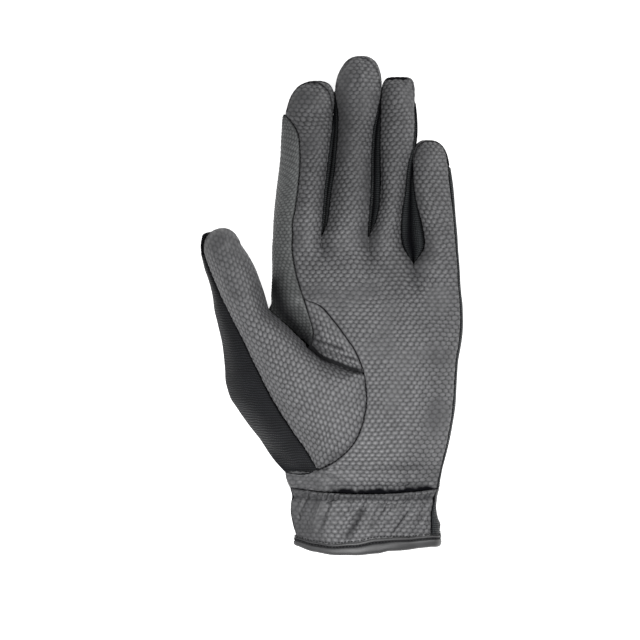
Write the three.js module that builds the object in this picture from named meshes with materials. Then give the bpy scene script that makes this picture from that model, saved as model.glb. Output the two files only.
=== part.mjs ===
// Riding glove for the left hand, lying on its back with the palm up.
// Millimetres. X runs across the hand (thumb at -X), Y along the fingers (tips at +Y),
// Z from the surface it lies on (0) up to the palm. Every piece is a thin sewn panel.
import * as THREE from 'three';

const LEATHER = 1.2; // wall of the embossed leather
const KNIT = 1.0; // wall of the stretch fabric
const SEAM = 0.3; // gap between two neighbouring panels
const ROUNDING = 2.3; // exponent of the crowned panels
const CROTCH_Z = 9.0; // height of the palm at the finger crotches
const BACK_SEAM_Z = 3.4; // height of the back seam along the fingers
const REST_BLEND = 16; // length over which the finger crowns run out into the palm

const COLOURS = { leather: 0x6f6f72, knit: 0x2b2c30, mesh: 0x24252a, binding: 0x636365 };

const table = (names, rows) => {
  const keys = names.split(' ');
  return rows.map((row) => Object.fromEntries(keys.map((key, i) => [key, row[i]])));
};
const mix = (a, b, t) => a + (b - a) * t;
const smooth = (t) => {
  const s = Math.min(1, Math.max(0, t));
  return s * s * (3 - 2 * s);
};
const vec = (x, y, z) => new THREE.Vector3(x, y, z);
const steps = (n) => Array.from({ length: n + 1 }, (_, i) => i / n);
const bezier = (a, b, c, d, t) => {
  const s = 1 - t;
  return vec(0, 0, 0)
    .addScaledVector(a, s * s * s)
    .addScaledVector(b, 3 * s * s * t)
    .addScaledVector(c, 3 * s * t * t)
    .addScaledVector(d, t * t * t);
};

// Cross rows of the hand from the hem (first) to the finger roots (last): the two ends of the
// palm side, the height of its crown, the outline on the little-finger side, the height of
// the underside, and how far the row bows towards the hem.
const HAND = table('xl yl zl xr yr zr crown side under bow', [
  [-15.0, -109.6, 9.4, 45.8, -108.6, 12.6, 19.2, 48.2, 1.6, 2.4],
  [-15.3, -104.4, 9.4, 45.9, -103.4, 13.2, 19.3, 49.2, 1.5, 2.2],
  [-16.8, -101.9, 9.0, 46.1, -100.9, 13.6, 19.6, 50.2, 0.7, 1.5],
  [-17.9, -98.9, 8.6, 46.1, -98.0, 13.4, 19.6, 49.7, 0.0, 1.0],
  [-18.6, -94.8, 8.4, 46.5, -93.9, 12.6, 19.2, 48.6, 0.0, 1.0],
  [-18.5, -91.1, 8.3, 47.3, -90.2, 11.8, 19.0, 48.5, 0.0, 1.1],
  [-18.0, -87.5, 8.2, 48.0, -86.8, 11.2, 18.6, 49.0, 0.0, 1.3],
  [-19.0, -83.8, 8.2, 48.8, -83.0, 11.0, 17.8, 49.9, 0.0, 1.4],
  [-20.0, -81.8, 8.2, 49.3, -81.1, 11.0, 19.8, 50.1, 0.0, 1.2],
  [-20.8, -79.0, 8.4, 49.9, -78.3, 11.2, 21.0, 50.6, 0.0, 0.6],
  [-21.0, -76.7, 8.8, 50.5, -75.3, 11.4, 21.8, 51.1, 0.0, 0.0],
  [-4.6, -75.1, 17.6, 51.3, -71.4, 11.7, 22.6, 52.1, 0.0, 0.0],
  [4.1, -69.8, 20.4, 52.6, -66.0, 12.0, 23.4, 53.5, 0.0, 0.0],
  [9.4, -64.6, 22.2, 53.8, -60.0, 12.3, 24.0, 55.0, 0.0, 0.0],
  [13.1, -58.2, 23.4, 55.0, -53.1, 12.6, 24.5, 56.2, 0.0, 0.0],
  [15.3, -50.8, 24.2, 55.9, -45.8, 12.8, 24.8, 57.2, 0.0, 0.0],
  [16.3, -43.5, 24.6, 56.5, -38.9, 13.0, 25.0, 57.6, 0.0, 0.0],
  [15.8, -36.6, 24.6, 56.9, -32.1, 13.0, 25.0, 57.9, 0.0, 0.0],
  [14.7, -30.2, 24.3, 57.4, -25.6, 13.0, 24.8, 58.4, 0.0, 0.0],
  [11.5, -22.0, 23.8, 58.5, -18.3, 12.9, 24.5, 59.8, 0.0, 0.0],
  [6.4, -14.2, 23.0, 59.3, -11.5, 12.8, 24.0, 60.5, 0.0, 0.0],
  [0.9, -6.9, 22.0, 59.4, -5.0, 12.7, 23.4, 60.6, 0.0, 0.0],
  [-4.6, -0.7, 20.8, 59.2, 0.5, 12.5, 22.8, 60.5, 0.0, 0.0],
  [-12.6, 3.2, 19.0, 58.8, 5.5, 12.3, 22.0, 59.8, 0.0, 0.0],
  [-14.4, 8.7, 16.8, 58.4, 10.1, 12.0, 21.0, 59.4, 0.0, 0.0],
  [-16.0, 14.2, 15.2, 58.3, 14.7, 11.7, 20.0, 59.2, 0.0, 0.0],
  [-16.9, 18.8, 14.0, 58.1, 18.8, 11.4, 19.0, 59.0, 0.0, 0.0],
  [-17.6, 22.9, 13.2, 57.7, 22.9, 11.0, 18.1, 58.7, 0.0, 0.0],
  [-17.9, 27.0, 12.6, 57.3, 27.0, 10.6, 17.3, 58.4, 0.0, 0.0],
  [-17.6, 31.6, 12.2, 56.9, 31.6, 10.2, 16.6, 58.2, 0.0, 0.0],
]);
const WRIST_ROW = 7; // seam between the cuff and the hand
const CORNER_ROW = 10; // lower corner of the thumb fabric
const THUMB_ROW = 11; // lower end of the thumb seam on the palm
const FOLD_ROW = 18; // the fold under the thumb runs out into the thumb seam here
const SIDE_ROW = 23; // upper end of the thumb seam, foot of the index side seam
const LITTLE_ROW = 26; // crotch between the ring and the little finger
const ROOT_ROW = 29; // crotches of the index, middle and ring finger

// Fingers from the root to the start of the rounded tip: edges of the front panel with their
// heights, crown, and the edges of the back panel.
const FINGER_COLUMNS = 'y xl xr zl zr crown bl br';
const FINGERS = {
  index: {
    columns: 4,
    tip: vec(-7.8, 103.0, 6.0),
    squareness: 2.5,
    rows: table(FINGER_COLUMNS, [
      [31.6, -17.6, -4.1, 12.2, 9.0, 15.5, -25.6, -4.1],
      [37.1, -17.7, -3.9, 12.0, 9.3, 15.3, -25.4, -3.5],
      [44.9, -16.3, -3.4, 11.8, 9.5, 14.9, -25.0, -2.7],
      [52.7, -15.3, -2.8, 11.7, 9.5, 14.6, -24.2, -1.9],
      [61.8, -14.4, -1.7, 11.6, 9.4, 14.3, -23.2, -0.6],
      [71.0, -14.3, -0.6, 11.4, 9.2, 14.0, -22.2, 0.4],
      [76.5, -14.7, 0.0, 11.0, 9.0, 13.7, -21.8, 0.9],
      [81.1, -16.0, 0.4, 10.2, 8.6, 13.4, -21.4, 1.1],
      [84.7, -18.1, 0.5, 8.8, 8.0, 13.0, -21.2, 1.0],
      [87.9, -20.5, 0.5, 7.2, 7.2, 12.4, -20.6, 0.7],
    ]),
  },
  middle: {
    columns: 5,
    tip: vec(13.1, 114.5, 6.0),
    squareness: 2.2,
    rows: table(FINGER_COLUMNS, [
      [31.6, -4.1, 17.9, 9.0, 9.0, 16.5, -4.1, 17.9],
      [37.1, -2.1, 17.5, 9.3, 9.3, 16.2, -2.5, 18.0],
      [44.9, -0.9, 18.0, 9.6, 9.6, 15.8, -1.7, 18.8],
      [52.7, 0.0, 18.5, 9.6, 9.6, 15.4, -1.0, 19.2],
      [61.8, 1.4, 18.8, 9.5, 9.5, 15.0, 0.3, 19.4],
      [71.0, 2.3, 18.9, 9.4, 9.4, 14.6, 1.3, 19.5],
      [80.2, 2.9, 19.2, 9.2, 9.2, 14.2, 2.0, 19.8],
      [89.3, 2.9, 20.8, 8.6, 8.6, 13.7, 2.1, 21.5],
      [98.5, 2.1, 22.9, 7.2, 7.2, 12.8, 2.0, 23.1],
    ]),
  },
  ring: {
    columns: 5,
    tip: vec(31.6, 103.3, 6.0),
    squareness: 2.8,
    rows: table(FINGER_COLUMNS, [
      [31.6, 17.9, 32.4, 9.0, 9.3, 15.6, 17.9, 36.2],
      [38.0, 20.4, 32.4, 9.3, 9.6, 15.2, 19.0, 36.0],
      [44.9, 22.1, 33.1, 9.5, 9.7, 14.9, 19.7, 35.9],
      [52.7, 22.6, 34.4, 9.6, 9.7, 14.6, 20.2, 36.1],
      [59.5, 22.7, 35.0, 9.6, 9.6, 14.3, 20.3, 36.3],
      [66.4, 22.7, 35.9, 9.5, 9.5, 14.0, 20.4, 36.8],
      [71.9, 22.7, 37.6, 9.4, 9.3, 13.7, 20.6, 38.0],
      [77.9, 22.8, 38.9, 9.2, 9.1, 13.4, 21.0, 39.3],
      [85.6, 23.3, 39.3, 8.6, 8.5, 13.0, 22.4, 39.6],
      [93.0, 23.8, 39.2, 7.2, 7.2, 12.2, 23.8, 39.4],
    ]),
  },
  little: {
    columns: 5,
    tip: vec(45.8, 75.3, 6.0),
    squareness: 2.3,
    rows: table(FINGER_COLUMNS, [
      [18.8, 37.8, 58.1, 9.0, 11.4, 14.6, 37.8, 56.8],
      [22.9, 40.8, 57.7, 9.4, 11.0, 14.3, 37.9, 56.8],
      [27.0, 42.7, 57.3, 9.7, 10.6, 14.0, 37.6, 56.3],
      [31.6, 42.6, 56.9, 9.8, 10.2, 13.8, 37.1, 56.1],
      [36.6, 41.8, 56.6, 9.8, 9.8, 13.5, 36.9, 55.9],
      [43.5, 40.2, 56.0, 9.6, 9.4, 13.2, 36.8, 55.4],
      [50.4, 38.6, 55.2, 9.3, 9.0, 12.8, 37.0, 55.0],
      [57.2, 37.8, 54.4, 8.6, 8.4, 12.3, 37.2, 54.5],
      [63.2, 37.7, 54.0, 7.0, 7.0, 11.6, 37.6, 54.0],
    ]),
  },
};
// Edge of the ring finger below the root row, down to its crotch with the little finger.
const RING_ROOT = table('y xr zr br', [
  [18.8, 37.8, 9.0, 37.8],
  [22.9, 35.3, 9.2, 37.5],
  [27.0, 33.2, 9.2, 36.8],
]);
// Outline on the outer side of the little finger, at its rows.
const LITTLE_SIDE = [59.0, 58.7, 58.4, 58.2, 57.8, 57.3, 56.8, 56.1, 55.1];
// Outline on the outer side of the index finger at its rows, and down the hand to the thumb.
const INDEX_SIDE = [-26.7, -26.5, -26.0, -25.1, -24.1, -23.2, -22.8, -22.3, -22.0, -21.3];
const HAND_SIDE = [-27.5, -27.3, -27.0, -27.0, -27.0, -26.9, -26.3];
// Seam between the index side panel and the thumb panel, from the palm down into the fold.
const FOLD_SEAM = [vec(-10.4, -5.0, 18.4), vec(-8.5, -12.4, 16.2)];

// Thumb from the start of the rounded tip to the wrist: front panel ends with their heights,
// crown, steepness of its right flank, outline of the back panel, inner end of the back panel.
const THUMB = table('xl yl zl xr yr zr crown flank sx sy bx by bz', [
  [-58.8, 22.4, 7.0, -41.4, 28.4, 6.6, 15.0, 2.2, -59.9, 23.4, -41.4, 28.4, 6.0],
  [-56.8, 16.5, 8.2, -37.8, 22.9, 6.8, 16.6, 2.2, -58.4, 16.9, -37.8, 22.9, 6.4],
  [-54.0, 10.1, 9.2, -34.4, 16.5, 7.0, 18.0, 2.2, -56.1, 10.5, -34.4, 16.5, 6.9],
  [-50.8, 4.1, 10.4, -32.1, 10.5, 7.0, 19.4, 2.2, -54.7, 4.1, -32.1, 10.5, 6.9],
  [-47.4, -2.3, 11.8, -30.0, 3.7, 7.0, 20.8, 2.2, -53.8, -2.3, -30.0, 3.7, 6.9],
  [-44.0, -9.2, 13.2, -28.4, -1.8, 6.6, 22.2, 2.3, -52.2, -9.2, -28.4, -1.8, 6.5],
  [-40.1, -16.9, 14.6, -23.4, -6.4, 8.4, 23.8, 2.8, -50.4, -16.9, -26.0, -8.2, 0.6],
  [-36.9, -23.8, 15.8, -18.3, -11.0, 10.0, 25.2, 3.4, -49.4, -23.8, -22.9, -15.6, 0.0],
  [-34.1, -29.3, 16.8, -14.2, -15.1, 11.6, 26.4, 4.0, -48.7, -29.8, -20.6, -21.5, 0.0],
  [-31.6, -34.4, 17.6, -9.6, -19.5, 13.2, 27.4, 4.4, -48.4, -35.7, -18.8, -27.0, 0.0],
  [-29.1, -39.4, 18.2, -5.5, -23.1, 15.0, 28.2, 4.4, -47.4, -39.4, -16.9, -32.5, 0.0],
  [-26.8, -43.7, 18.6, -0.9, -26.3, 17.0, 28.7, 4.2, -46.0, -43.1, -15.6, -37.6, 0.0],
  [-24.5, -47.4, 18.8, 4.6, -28.6, 19.2, 29.0, 3.8, -43.5, -46.9, -14.4, -42.1, 0.0],
  [-22.7, -50.6, 19.0, 9.6, -29.8, 21.8, 29.0, 3.2, -41.4, -50.2, -13.5, -46.3, 0.0],
  [-20.8, -53.1, 19.0, 14.7, -30.2, 24.3, 28.9, 2.6, -39.5, -52.9, -12.8, -49.9, 0.0],
  [-18.8, -56.3, 19.0, 15.8, -36.6, 24.6, 28.7, 2.4, -37.1, -56.1, -12.1, -54.0, 0.0],
  [-16.7, -59.5, 18.8, 16.3, -43.5, 24.6, 28.2, 2.3, -34.6, -59.3, -11.7, -57.7, 0.0],
  [-14.7, -62.3, 18.5, 15.3, -50.8, 24.2, 27.4, 2.2, -32.5, -62.1, -11.5, -60.9, 0.0],
  [-12.6, -65.0, 18.2, 13.1, -58.2, 23.4, 26.4, 2.2, -30.7, -64.8, -11.5, -64.1, 0.0],
  [-10.7, -68.0, 17.9, 9.4, -64.6, 22.2, 25.0, 2.2, -28.6, -68.0, -11.9, -67.6, 0.0],
  [-8.8, -71.4, 17.4, 4.1, -69.8, 20.4, 22.0, 2.2, -25.8, -71.9, -12.8, -71.4, 0.0],
  [-6.6, -75.2, 16.5, -4.6, -75.1, 17.6, 17.2, 2.2, -21.8, -76.4, -14.0, -76.7, 0.0],
]);
const THUMB_TIP = vec(-51.8, 35.3, 7.0);
const THUMB_ROOT = 5; // crotch between the thumb and the hand
const THUMB_FOLD = 9; // the index side panel ends here, inside the fold
const THUMB_JOIN = 14; // the fold runs out here
const THUMB_COLUMNS = [0, 0.1, 0.22, 0.36, 0.52, 0.68, 0.82, 0.92, 1];

// Share of the side strip that the cuff back takes at each cuff row; the gusset has the rest.
const GUSSET_START = [0.3, 0.34, 0.42, 0.54, 0.7, 0.92];

class Sheet {
  constructor() {
    this.points = [];
    this.faces = [];
    this.lookup = new Map();
  }

  add(point) {
    const key = point.toArray().map((v) => Math.round(v * 1e4)).join();
    if (!this.lookup.has(key)) {
      this.lookup.set(key, this.points.length);
      this.points.push(point.clone());
    }
    return this.lookup.get(key);
  }

  // Rows of points, seen from outside left to right and bottom to top.
  grid(rows) {
    const ids = rows.map((row) => row.map((point) => this.add(point)));
    for (let i = 0; i + 1 < ids.length; i += 1) {
      for (let j = 0; j + 1 < ids[i].length; j += 1) {
        const [a, b, c, d] = [ids[i][j], ids[i][j + 1], ids[i + 1][j + 1], ids[i + 1][j]];
        const p = [a, b, c, d].map((k) => this.points[k]);
        const split = p[0].distanceTo(p[2]) <= p[1].distanceTo(p[3]);
        const pair = split ? [[a, b, c], [a, c, d]] : [[a, b, d], [b, c, d]];
        pair.filter((f) => new Set(f).size === 3).forEach((f) => this.faces.push(f));
      }
    }
    return this;
  }

  // Edges used by one face only, each in the direction of its face.
  rim() {
    const seen = new Map();
    this.faces.forEach((f) => f.forEach((a, i) => {
      const b = f[(i + 1) % 3];
      const key = a < b ? `${a}_${b}` : `${b}_${a}`;
      if (seen.has(key)) seen.set(key, null);
      else seen.set(key, [a, b]);
    }));
    return [...seen.values()].filter(Boolean);
  }

  normals() {
    const sums = this.points.map(() => vec(0, 0, 0));
    this.faces.forEach((f) => {
      const [a, b, c] = f.map((k) => this.points[k]);
      const n = b.clone().sub(a).cross(c.clone().sub(a));
      f.forEach((k) => sums[k].add(n));
    });
    return sums.map((n) => n.normalize());
  }
}

// Height across a row: each half falls from the crown to its edge.
const crowned = (u, zl, zr, crown, pl = ROUNDING, pr = ROUNDING) => {
  const a = 2 * u - 1;
  return a < 0 ? crown + (zl - crown) * (-a) ** pl : crown + (zr - crown) * a ** pr;
};
// Height across the underside: flat in the middle, rising to the edges.
const trayed = (u, zl, zr, floor = 0) => {
  const a = 2 * u - 1;
  const rise = Math.max(0, (Math.abs(a) - 0.5) / 0.5) ** 1.7;
  return floor + ((a < 0 ? zl : zr) - floor) * rise;
};

// Rounded end of a tube: half a disc mapped from a rectangle, between two base points.
function cap(left, right, tip, squareness, across, along, height) {
  const centre = left.clone().add(right).multiplyScalar(0.5);
  const half = right.clone().sub(left).multiplyScalar(0.5);
  const reach = tip.clone().sub(centre);
  return along.map((w) => across.map((u) => {
    const a = 2 * u - 1;
    const x = a * Math.sqrt(1 - (w * w) / 2);
    const y = w * Math.sqrt(1 - (a * a) / 2);
    const r = Math.min(1, Math.hypot(x, y));
    const angle = Math.atan2(y, x);
    const corner = Math.abs(Math.cos(angle)) ** squareness + Math.abs(Math.sin(angle)) ** squareness;
    const grow = 1 + (corner ** (-1 / squareness) - 1) * r * r;
    const point = centre.clone().addScaledVector(half, x * grow).addScaledVector(reach, y * grow);
    point.z = height(r, (x + 1) / 2, y);
    return point;
  }));
}

const CAP_STEPS = [0.3, 0.58, 0.82, 1];
const names = Object.keys(FINGERS);
const rootRow = (name) => (name === 'little' ? LITTLE_ROW : ROOT_ROW);
const lastOf = (rows) => rows[rows.length - 1];
const backSeamZ = (finger, y) => {
  const end = lastOf(finger.rows);
  return mix(BACK_SEAM_Z, end.zl - 1, smooth((y - end.y + 16) / 16));
};

// Lines between the four finger strips in a hand row that runs from x0 to x1.
function strips(i, x0, x1, crotch0, crotch1, back) {
  const lines = [1, 2, 3].map((k) => {
    const name = names[k];
    const target = (FINGERS[name].rows[0].xl - crotch0) / (crotch1 - crotch0);
    return mix(x0, x1, mix(k / 4, target, smooth((i - FOLD_ROW) / (rootRow(name) - FOLD_ROW))));
  });
  const left = [x0, ...lines];
  const right = [...lines, x1];
  if (i > LITTLE_ROW) {
    const own = FINGERS.little.rows[i - LITTLE_ROW];
    const ring = i === ROOT_ROW ? FINGERS.ring.rows[0] : RING_ROOT[i - LITTLE_ROW];
    left[3] = back ? own.bl : own.xl;
    right[2] = back ? ring.br : ring.xr;
  }
  return { left, right };
}

const rowY = (row, x) => {
  const u = (x - row.xl) / (row.xr - row.xl);
  return mix(row.yl, row.yr, u) - row.bow * Math.max(0, 4 * u * (1 - u));
};
const palmZ = (row, x) => crowned((x - row.xl) / (row.xr - row.xl), row.zl, row.zr, row.crown);

// Palm side of a hand row, split into one list of points for each finger strip.
function palmRow(i) {
  const row = HAND[i];
  const end = HAND[ROOT_ROW];
  const { left, right } = strips(i, row.xl, row.xr, end.xl, HAND[LITTLE_ROW].xr, false);
  const ringEdge = i > LITTLE_ROW && i < ROOT_ROW ? RING_ROOT[i - LITTLE_ROW].zr : 9.3;
  return names.map((name, k) => {
    const finger = FINGERS[name];
    const base = finger.rows[name === 'little' ? Math.max(0, i - LITTLE_ROW) : 0];
    const crotches = [k === 0 ? ROOT_ROW : rootRow(name), rootRow(names[Math.min(3, k + 1)])];
    return steps(finger.columns).map((u) => {
      const x = mix(left[k], right[k], u);
      const y = rowY(row, x);
      const depth = crotches.map((c) => smooth((rowY(HAND[c], x) - y) / REST_BLEND));
      const settled = mix(depth[0], depth[1], smooth(u));
      const split = i > LITTLE_ROW;
      const zl = k === 0 ? row.zl : k === 3 && split ? base.zl : CROTCH_Z;
      const zr = k === 3 ? row.zr : k === 2 && split ? ringEdge : CROTCH_Z;
      const fingerZ = crowned(u, zl, zr, base.crown);
      return vec(x, y, mix(fingerZ, palmZ(row, x), settled));
    });
  });
}

// Left end of the underside of a hand row, from the thumb fabric or the index side panel.
const backLeft = (i) => {
  const row = HAND[i];
  if (i <= CORNER_ROW) return vec(row.xl + 7, rowY(row, row.xl + 7), row.under);
  if (i >= SIDE_ROW) return vec(HAND_SIDE[i - SIDE_ROW] + 0.7, row.yl, 1.5);
  const inner = THUMB.slice(THUMB_ROOT + 1).map((t) => vec(t.bx, t.by, t.bz));
  const y = mix(-76.7, 3.2, (i - CORNER_ROW) / (SIDE_ROW - CORNER_ROW));
  const line = [vec(-27.2, 1.5, 1.2), ...inner];
  const at = line.findIndex((p) => p.y < y);
  const [upper, lower] = [line[Math.max(0, at - 1)], line[at]];
  return lower.clone().lerp(upper, upper === lower ? 0 : (y - lower.y) / (upper.y - lower.y));
};

// Strip that turns up round the outer side to the front seam; t runs from the underside.
const sideStrip = (foot, side, seam, t) => {
  const out = side + 0.9;
  const low = vec(out, mix(foot.y, seam.y, 0.3), foot.z + 0.4);
  const high = vec(out, mix(foot.y, seam.y, 0.8), seam.z - 1.2);
  return bezier(foot, low, high, seam, t);
};
const sideFoot = (row) => vec(row.side - 4.4, rowY(row, row.side - 4.4), row.under);

function backRow(i) {
  const row = HAND[i];
  const from = backLeft(i);
  const foot = sideFoot(row);
  const end = [backLeft(ROOT_ROW).x, sideFoot(HAND[LITTLE_ROW]).x];
  const { left, right } = strips(i, from.x, foot.x, end[0], end[1], true);
  return names.map((name, k) => {
    const crotches = [k === 0 ? ROOT_ROW : rootRow(name), rootRow(names[Math.min(3, k + 1)])];
    return steps(4).map((u) => {
      const x = mix(left[k], right[k], u);
      const y = mix(from.y, foot.y, (x - from.x) / (foot.x - from.x));
      const lift = crotches.map((c) => BACK_SEAM_Z * (1 - smooth((HAND[c].yl - y) / 9)));
      const zl = k === 0 ? from.z : lift[0];
      const zr = k === 3 ? foot.z : lift[1];
      return vec(x, y, trayed(u, zl, zr, row.under));
    });
  });
}

const corner = (row) => steps(3).map((t) => {
  const angle = (t * Math.PI) / 2;
  const x = row.xl + 7 * (1 - Math.cos(angle));
  return vec(x, rowY(row, x), mix(row.zl, row.under, Math.sin(angle)));
});
const flip = (rows) => rows.map((row) => [...row].reverse());

function palmPanel() {
  const sheet = new Sheet();
  const rows = HAND.map((_, i) => palmRow(i));
  names.forEach((name, k) => {
    sheet.grid(rows.slice(WRIST_ROW, rootRow(name) + 1).map((row) => row[k]));
    const finger = FINGERS[name];
    const across = steps(finger.columns);
    const tube = finger.rows.map((row) => across.map((u) =>
      vec(mix(row.xl, row.xr, u), row.y, crowned(u, row.zl, row.zr, row.crown))));
    tube[0] = rows[rootRow(name)][k];
    const end = lastOf(finger.rows);
    const tip = cap(vec(end.xl, end.y, 0), vec(end.xr, end.y, 0), finger.tip, finger.squareness,
      across, CAP_STEPS, (r, u, y) => {
        const edge = mix(mix(end.zl, end.zr, u), finger.tip.z, y);
        return end.crown + (edge - end.crown) * r ** ROUNDING;
      });
    sheet.grid([...tube, ...tip]);
  });
  return sheet;
}

function backPanel() {
  const sheet = new Sheet();
  const rows = HAND.map((_, i) => backRow(i));
  names.forEach((name, k) => {
    const finger = FINGERS[name];
    sheet.grid(flip(rows.slice(WRIST_ROW, rootRow(name) + 1).map((row) => row[k])));
    const outer = name === 'little';
    const across = outer ? [...steps(4).map((u) => u * 0.72), 0.8, 0.88, 0.95, 1] : steps(4);
    const tube = finger.rows.map((row, i) => {
      const z = backSeamZ(finger, row.y);
      const zl = name === 'index' ? mix(1.5, z, smooth((row.y - 72) / 16)) : z;
      const foot = outer ? vec(LITTLE_SIDE[i] - 4.4, row.y, 0) : vec(row.br, row.y, z);
      const floor = steps(4).map((u) => vec(mix(row.bl, foot.x, u), row.y, trayed(u, zl, foot.z)));
      if (!outer) return floor;
      const seam = vec(row.xr, row.y, row.zr - (i === finger.rows.length - 1 ? 1 : 0));
      const side = [0.25, 0.5, 0.75, 1].map((t) => sideStrip(foot, LITTLE_SIDE[i], seam, t));
      return [...floor, ...side];
    });
    const root = rows[rootRow(name)][k];
    if (outer) {
      const row = HAND[LITTLE_ROW];
      const seam = vec(row.xr, row.yr, row.zr);
      tube[0] = [...root, ...[0.25, 0.5, 0.75, 1].map((t) => sideStrip(root[4], row.side, seam, t))];
    } else tube[0] = root;
    const end = lastOf(finger.rows);
    const z = backSeamZ(finger, end.y);
    const tip = cap(vec(end.xl, end.y, 0), vec(end.xr, end.y, 0), finger.tip, finger.squareness,
      across, CAP_STEPS, (r, u, y) => mix(z, finger.tip.z, y) * Math.max(0, (r - 0.5) / 0.5) ** 1.7);
    sheet.grid(flip([...tube, ...tip]));
  });
  sheet.grid(flip(HAND.slice(WRIST_ROW, LITTLE_ROW + 1).map((row, i) => {
    const foot = lastOf(rows[WRIST_ROW + i][3]);
    const seam = vec(row.xr, row.yr, row.zr);
    return steps(4).map((t) => sideStrip(foot, row.side, seam, t));
  })));
  sheet.grid(flip(HAND.slice(WRIST_ROW, CORNER_ROW + 1).map(corner)));
  return sheet;
}

// Band between two fingers: down the right side of the first, up the left side of the second.
// Its sides bow towards each other above the crotch.
function fourchette(first, second) {
  const crotch = FINGERS[second].rows[0].y;
  const lean = (y) => 0.28 * smooth((y - crotch) / 14);
  const down = [...FINGERS[first].rows].reverse().map((row) => ({
    front: vec(row.xr, row.y, row.zr),
    back: vec(row.br, row.y, backSeamZ(FINGERS[first], row.y)),
    lean: lean(row.y),
  }));
  if (second === 'little') {
    [...RING_ROOT].reverse().forEach((row) => down.push({
      front: vec(row.xr, row.y, row.zr), back: vec(row.br, row.y, BACK_SEAM_Z), lean: lean(row.y),
    }));
  }
  const up = FINGERS[second].rows.slice(1).map((row) => ({
    front: vec(row.xl, row.y, row.zl),
    back: vec(row.bl, row.y, backSeamZ(FINGERS[second], row.y)),
    lean: -lean(row.y),
  }));
  const rows = [...down, ...up].map(({ front, back, lean: bow }) => {
    const middle = vec(back.x + bow, back.y, mix(front.z, back.z, 0.45));
    return steps(3).map((t) => bezier(front, middle, middle, back, t));
  });
  return new Sheet().grid(flip(rows));
}

function indexSidePanel() {
  const rows = [];
  [...FINGERS.index.rows.keys()].reverse().forEach((i) => {
    const row = FINGERS.index.rows[i];
    const z = mix(1.5, backSeamZ(FINGERS.index, row.y), smooth((row.y - 72) / 16));
    rows.push({
      front: vec(row.xl, row.y, row.zl), back: vec(row.bl, row.y, z), side: INDEX_SIDE[i],
    });
  });
  rows[0].front.lerp(rows[1].front, 0.35);
  rows[0].back.lerp(rows[1].back, 0.35);
  rows[0].side -= 0.4;
  for (let i = ROOT_ROW - 1; i >= SIDE_ROW; i -= 1) {
    const row = HAND[i];
    rows.push({ front: vec(row.xl, row.yl, row.zl), back: backLeft(i), side: HAND_SIDE[i - SIDE_ROW] });
  }
  const clear = vec(0.65, 0.65, 0.3);
  const ends = [THUMB_ROOT, 7, 8].map((k) => vec(THUMB[k].xr, THUMB[k].yr, THUMB[k].zr).add(clear));
  const fold = THUMB[THUMB_FOLD];
  const fronts = [...FOLD_SEAM, vec(fold.xr, fold.yr, fold.zr)];
  const points = rows.map(({ front, back, side }) => {
    const high = vec(mix(side, front.x, 0.3), mix(front.y, back.y, 0.4), front.z - 0.9);
    const low = vec(side - 2, back.y, mix(back.z, front.z, 0.22));
    return steps(5).map((t) => bezier(front, high, low, back, t));
  });
  fronts.forEach((front, i) => {
    points.push(steps(5).map((t) => {
      const p = front.clone().lerp(ends[i], t);
      p.z -= Math.sin(Math.PI * t) * 0.8 * (1 - i / 2);
      return p;
    }));
  });
  return new Sheet().grid(points);
}

function thumbFrontPanel() {
  const sheet = new Sheet();
  const mound = THUMB.map((row) => THUMB_COLUMNS.map((u) => vec(
    mix(row.xl, row.xr, u), mix(row.yl, row.yr, u),
    crowned(u, row.zl, row.zr, row.crown, ROUNDING, row.flank))));
  const base = THUMB[0];
  const tip = cap(vec(base.xl, base.yl, 0), vec(base.xr, base.yr, 0), THUMB_TIP, 2.1,
    THUMB_COLUMNS, CAP_STEPS, (r, u, y) => {
      const edge = mix(mix(base.zl, base.zr, u), THUMB_TIP.z, y);
      return base.crown + (edge - base.crown) * r ** ROUNDING;
    });
  sheet.grid([...[...mound].reverse(), ...tip]);
  const web = [];
  for (let k = THUMB_FOLD; k <= THUMB_JOIN; k += 1) {
    const foot = vec(THUMB[k].xr, THUMB[k].yr, THUMB[k].zr);
    const row = HAND[SIDE_ROW - (k - THUMB_FOLD)];
    const top = vec(row.xl, row.yl, row.zl);
    if (k === THUMB_FOLD) web.push([top, ...FOLD_SEAM, foot]);
    else web.push(steps(3).map((t) => {
      const p = top.clone().lerp(foot, t);
      p.z += Math.sin(Math.PI * t) * 0.12 * top.distanceTo(foot) * (1 - t * 0.4);
      return p;
    }));
  }
  sheet.grid(web);
  return sheet;
}

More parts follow.
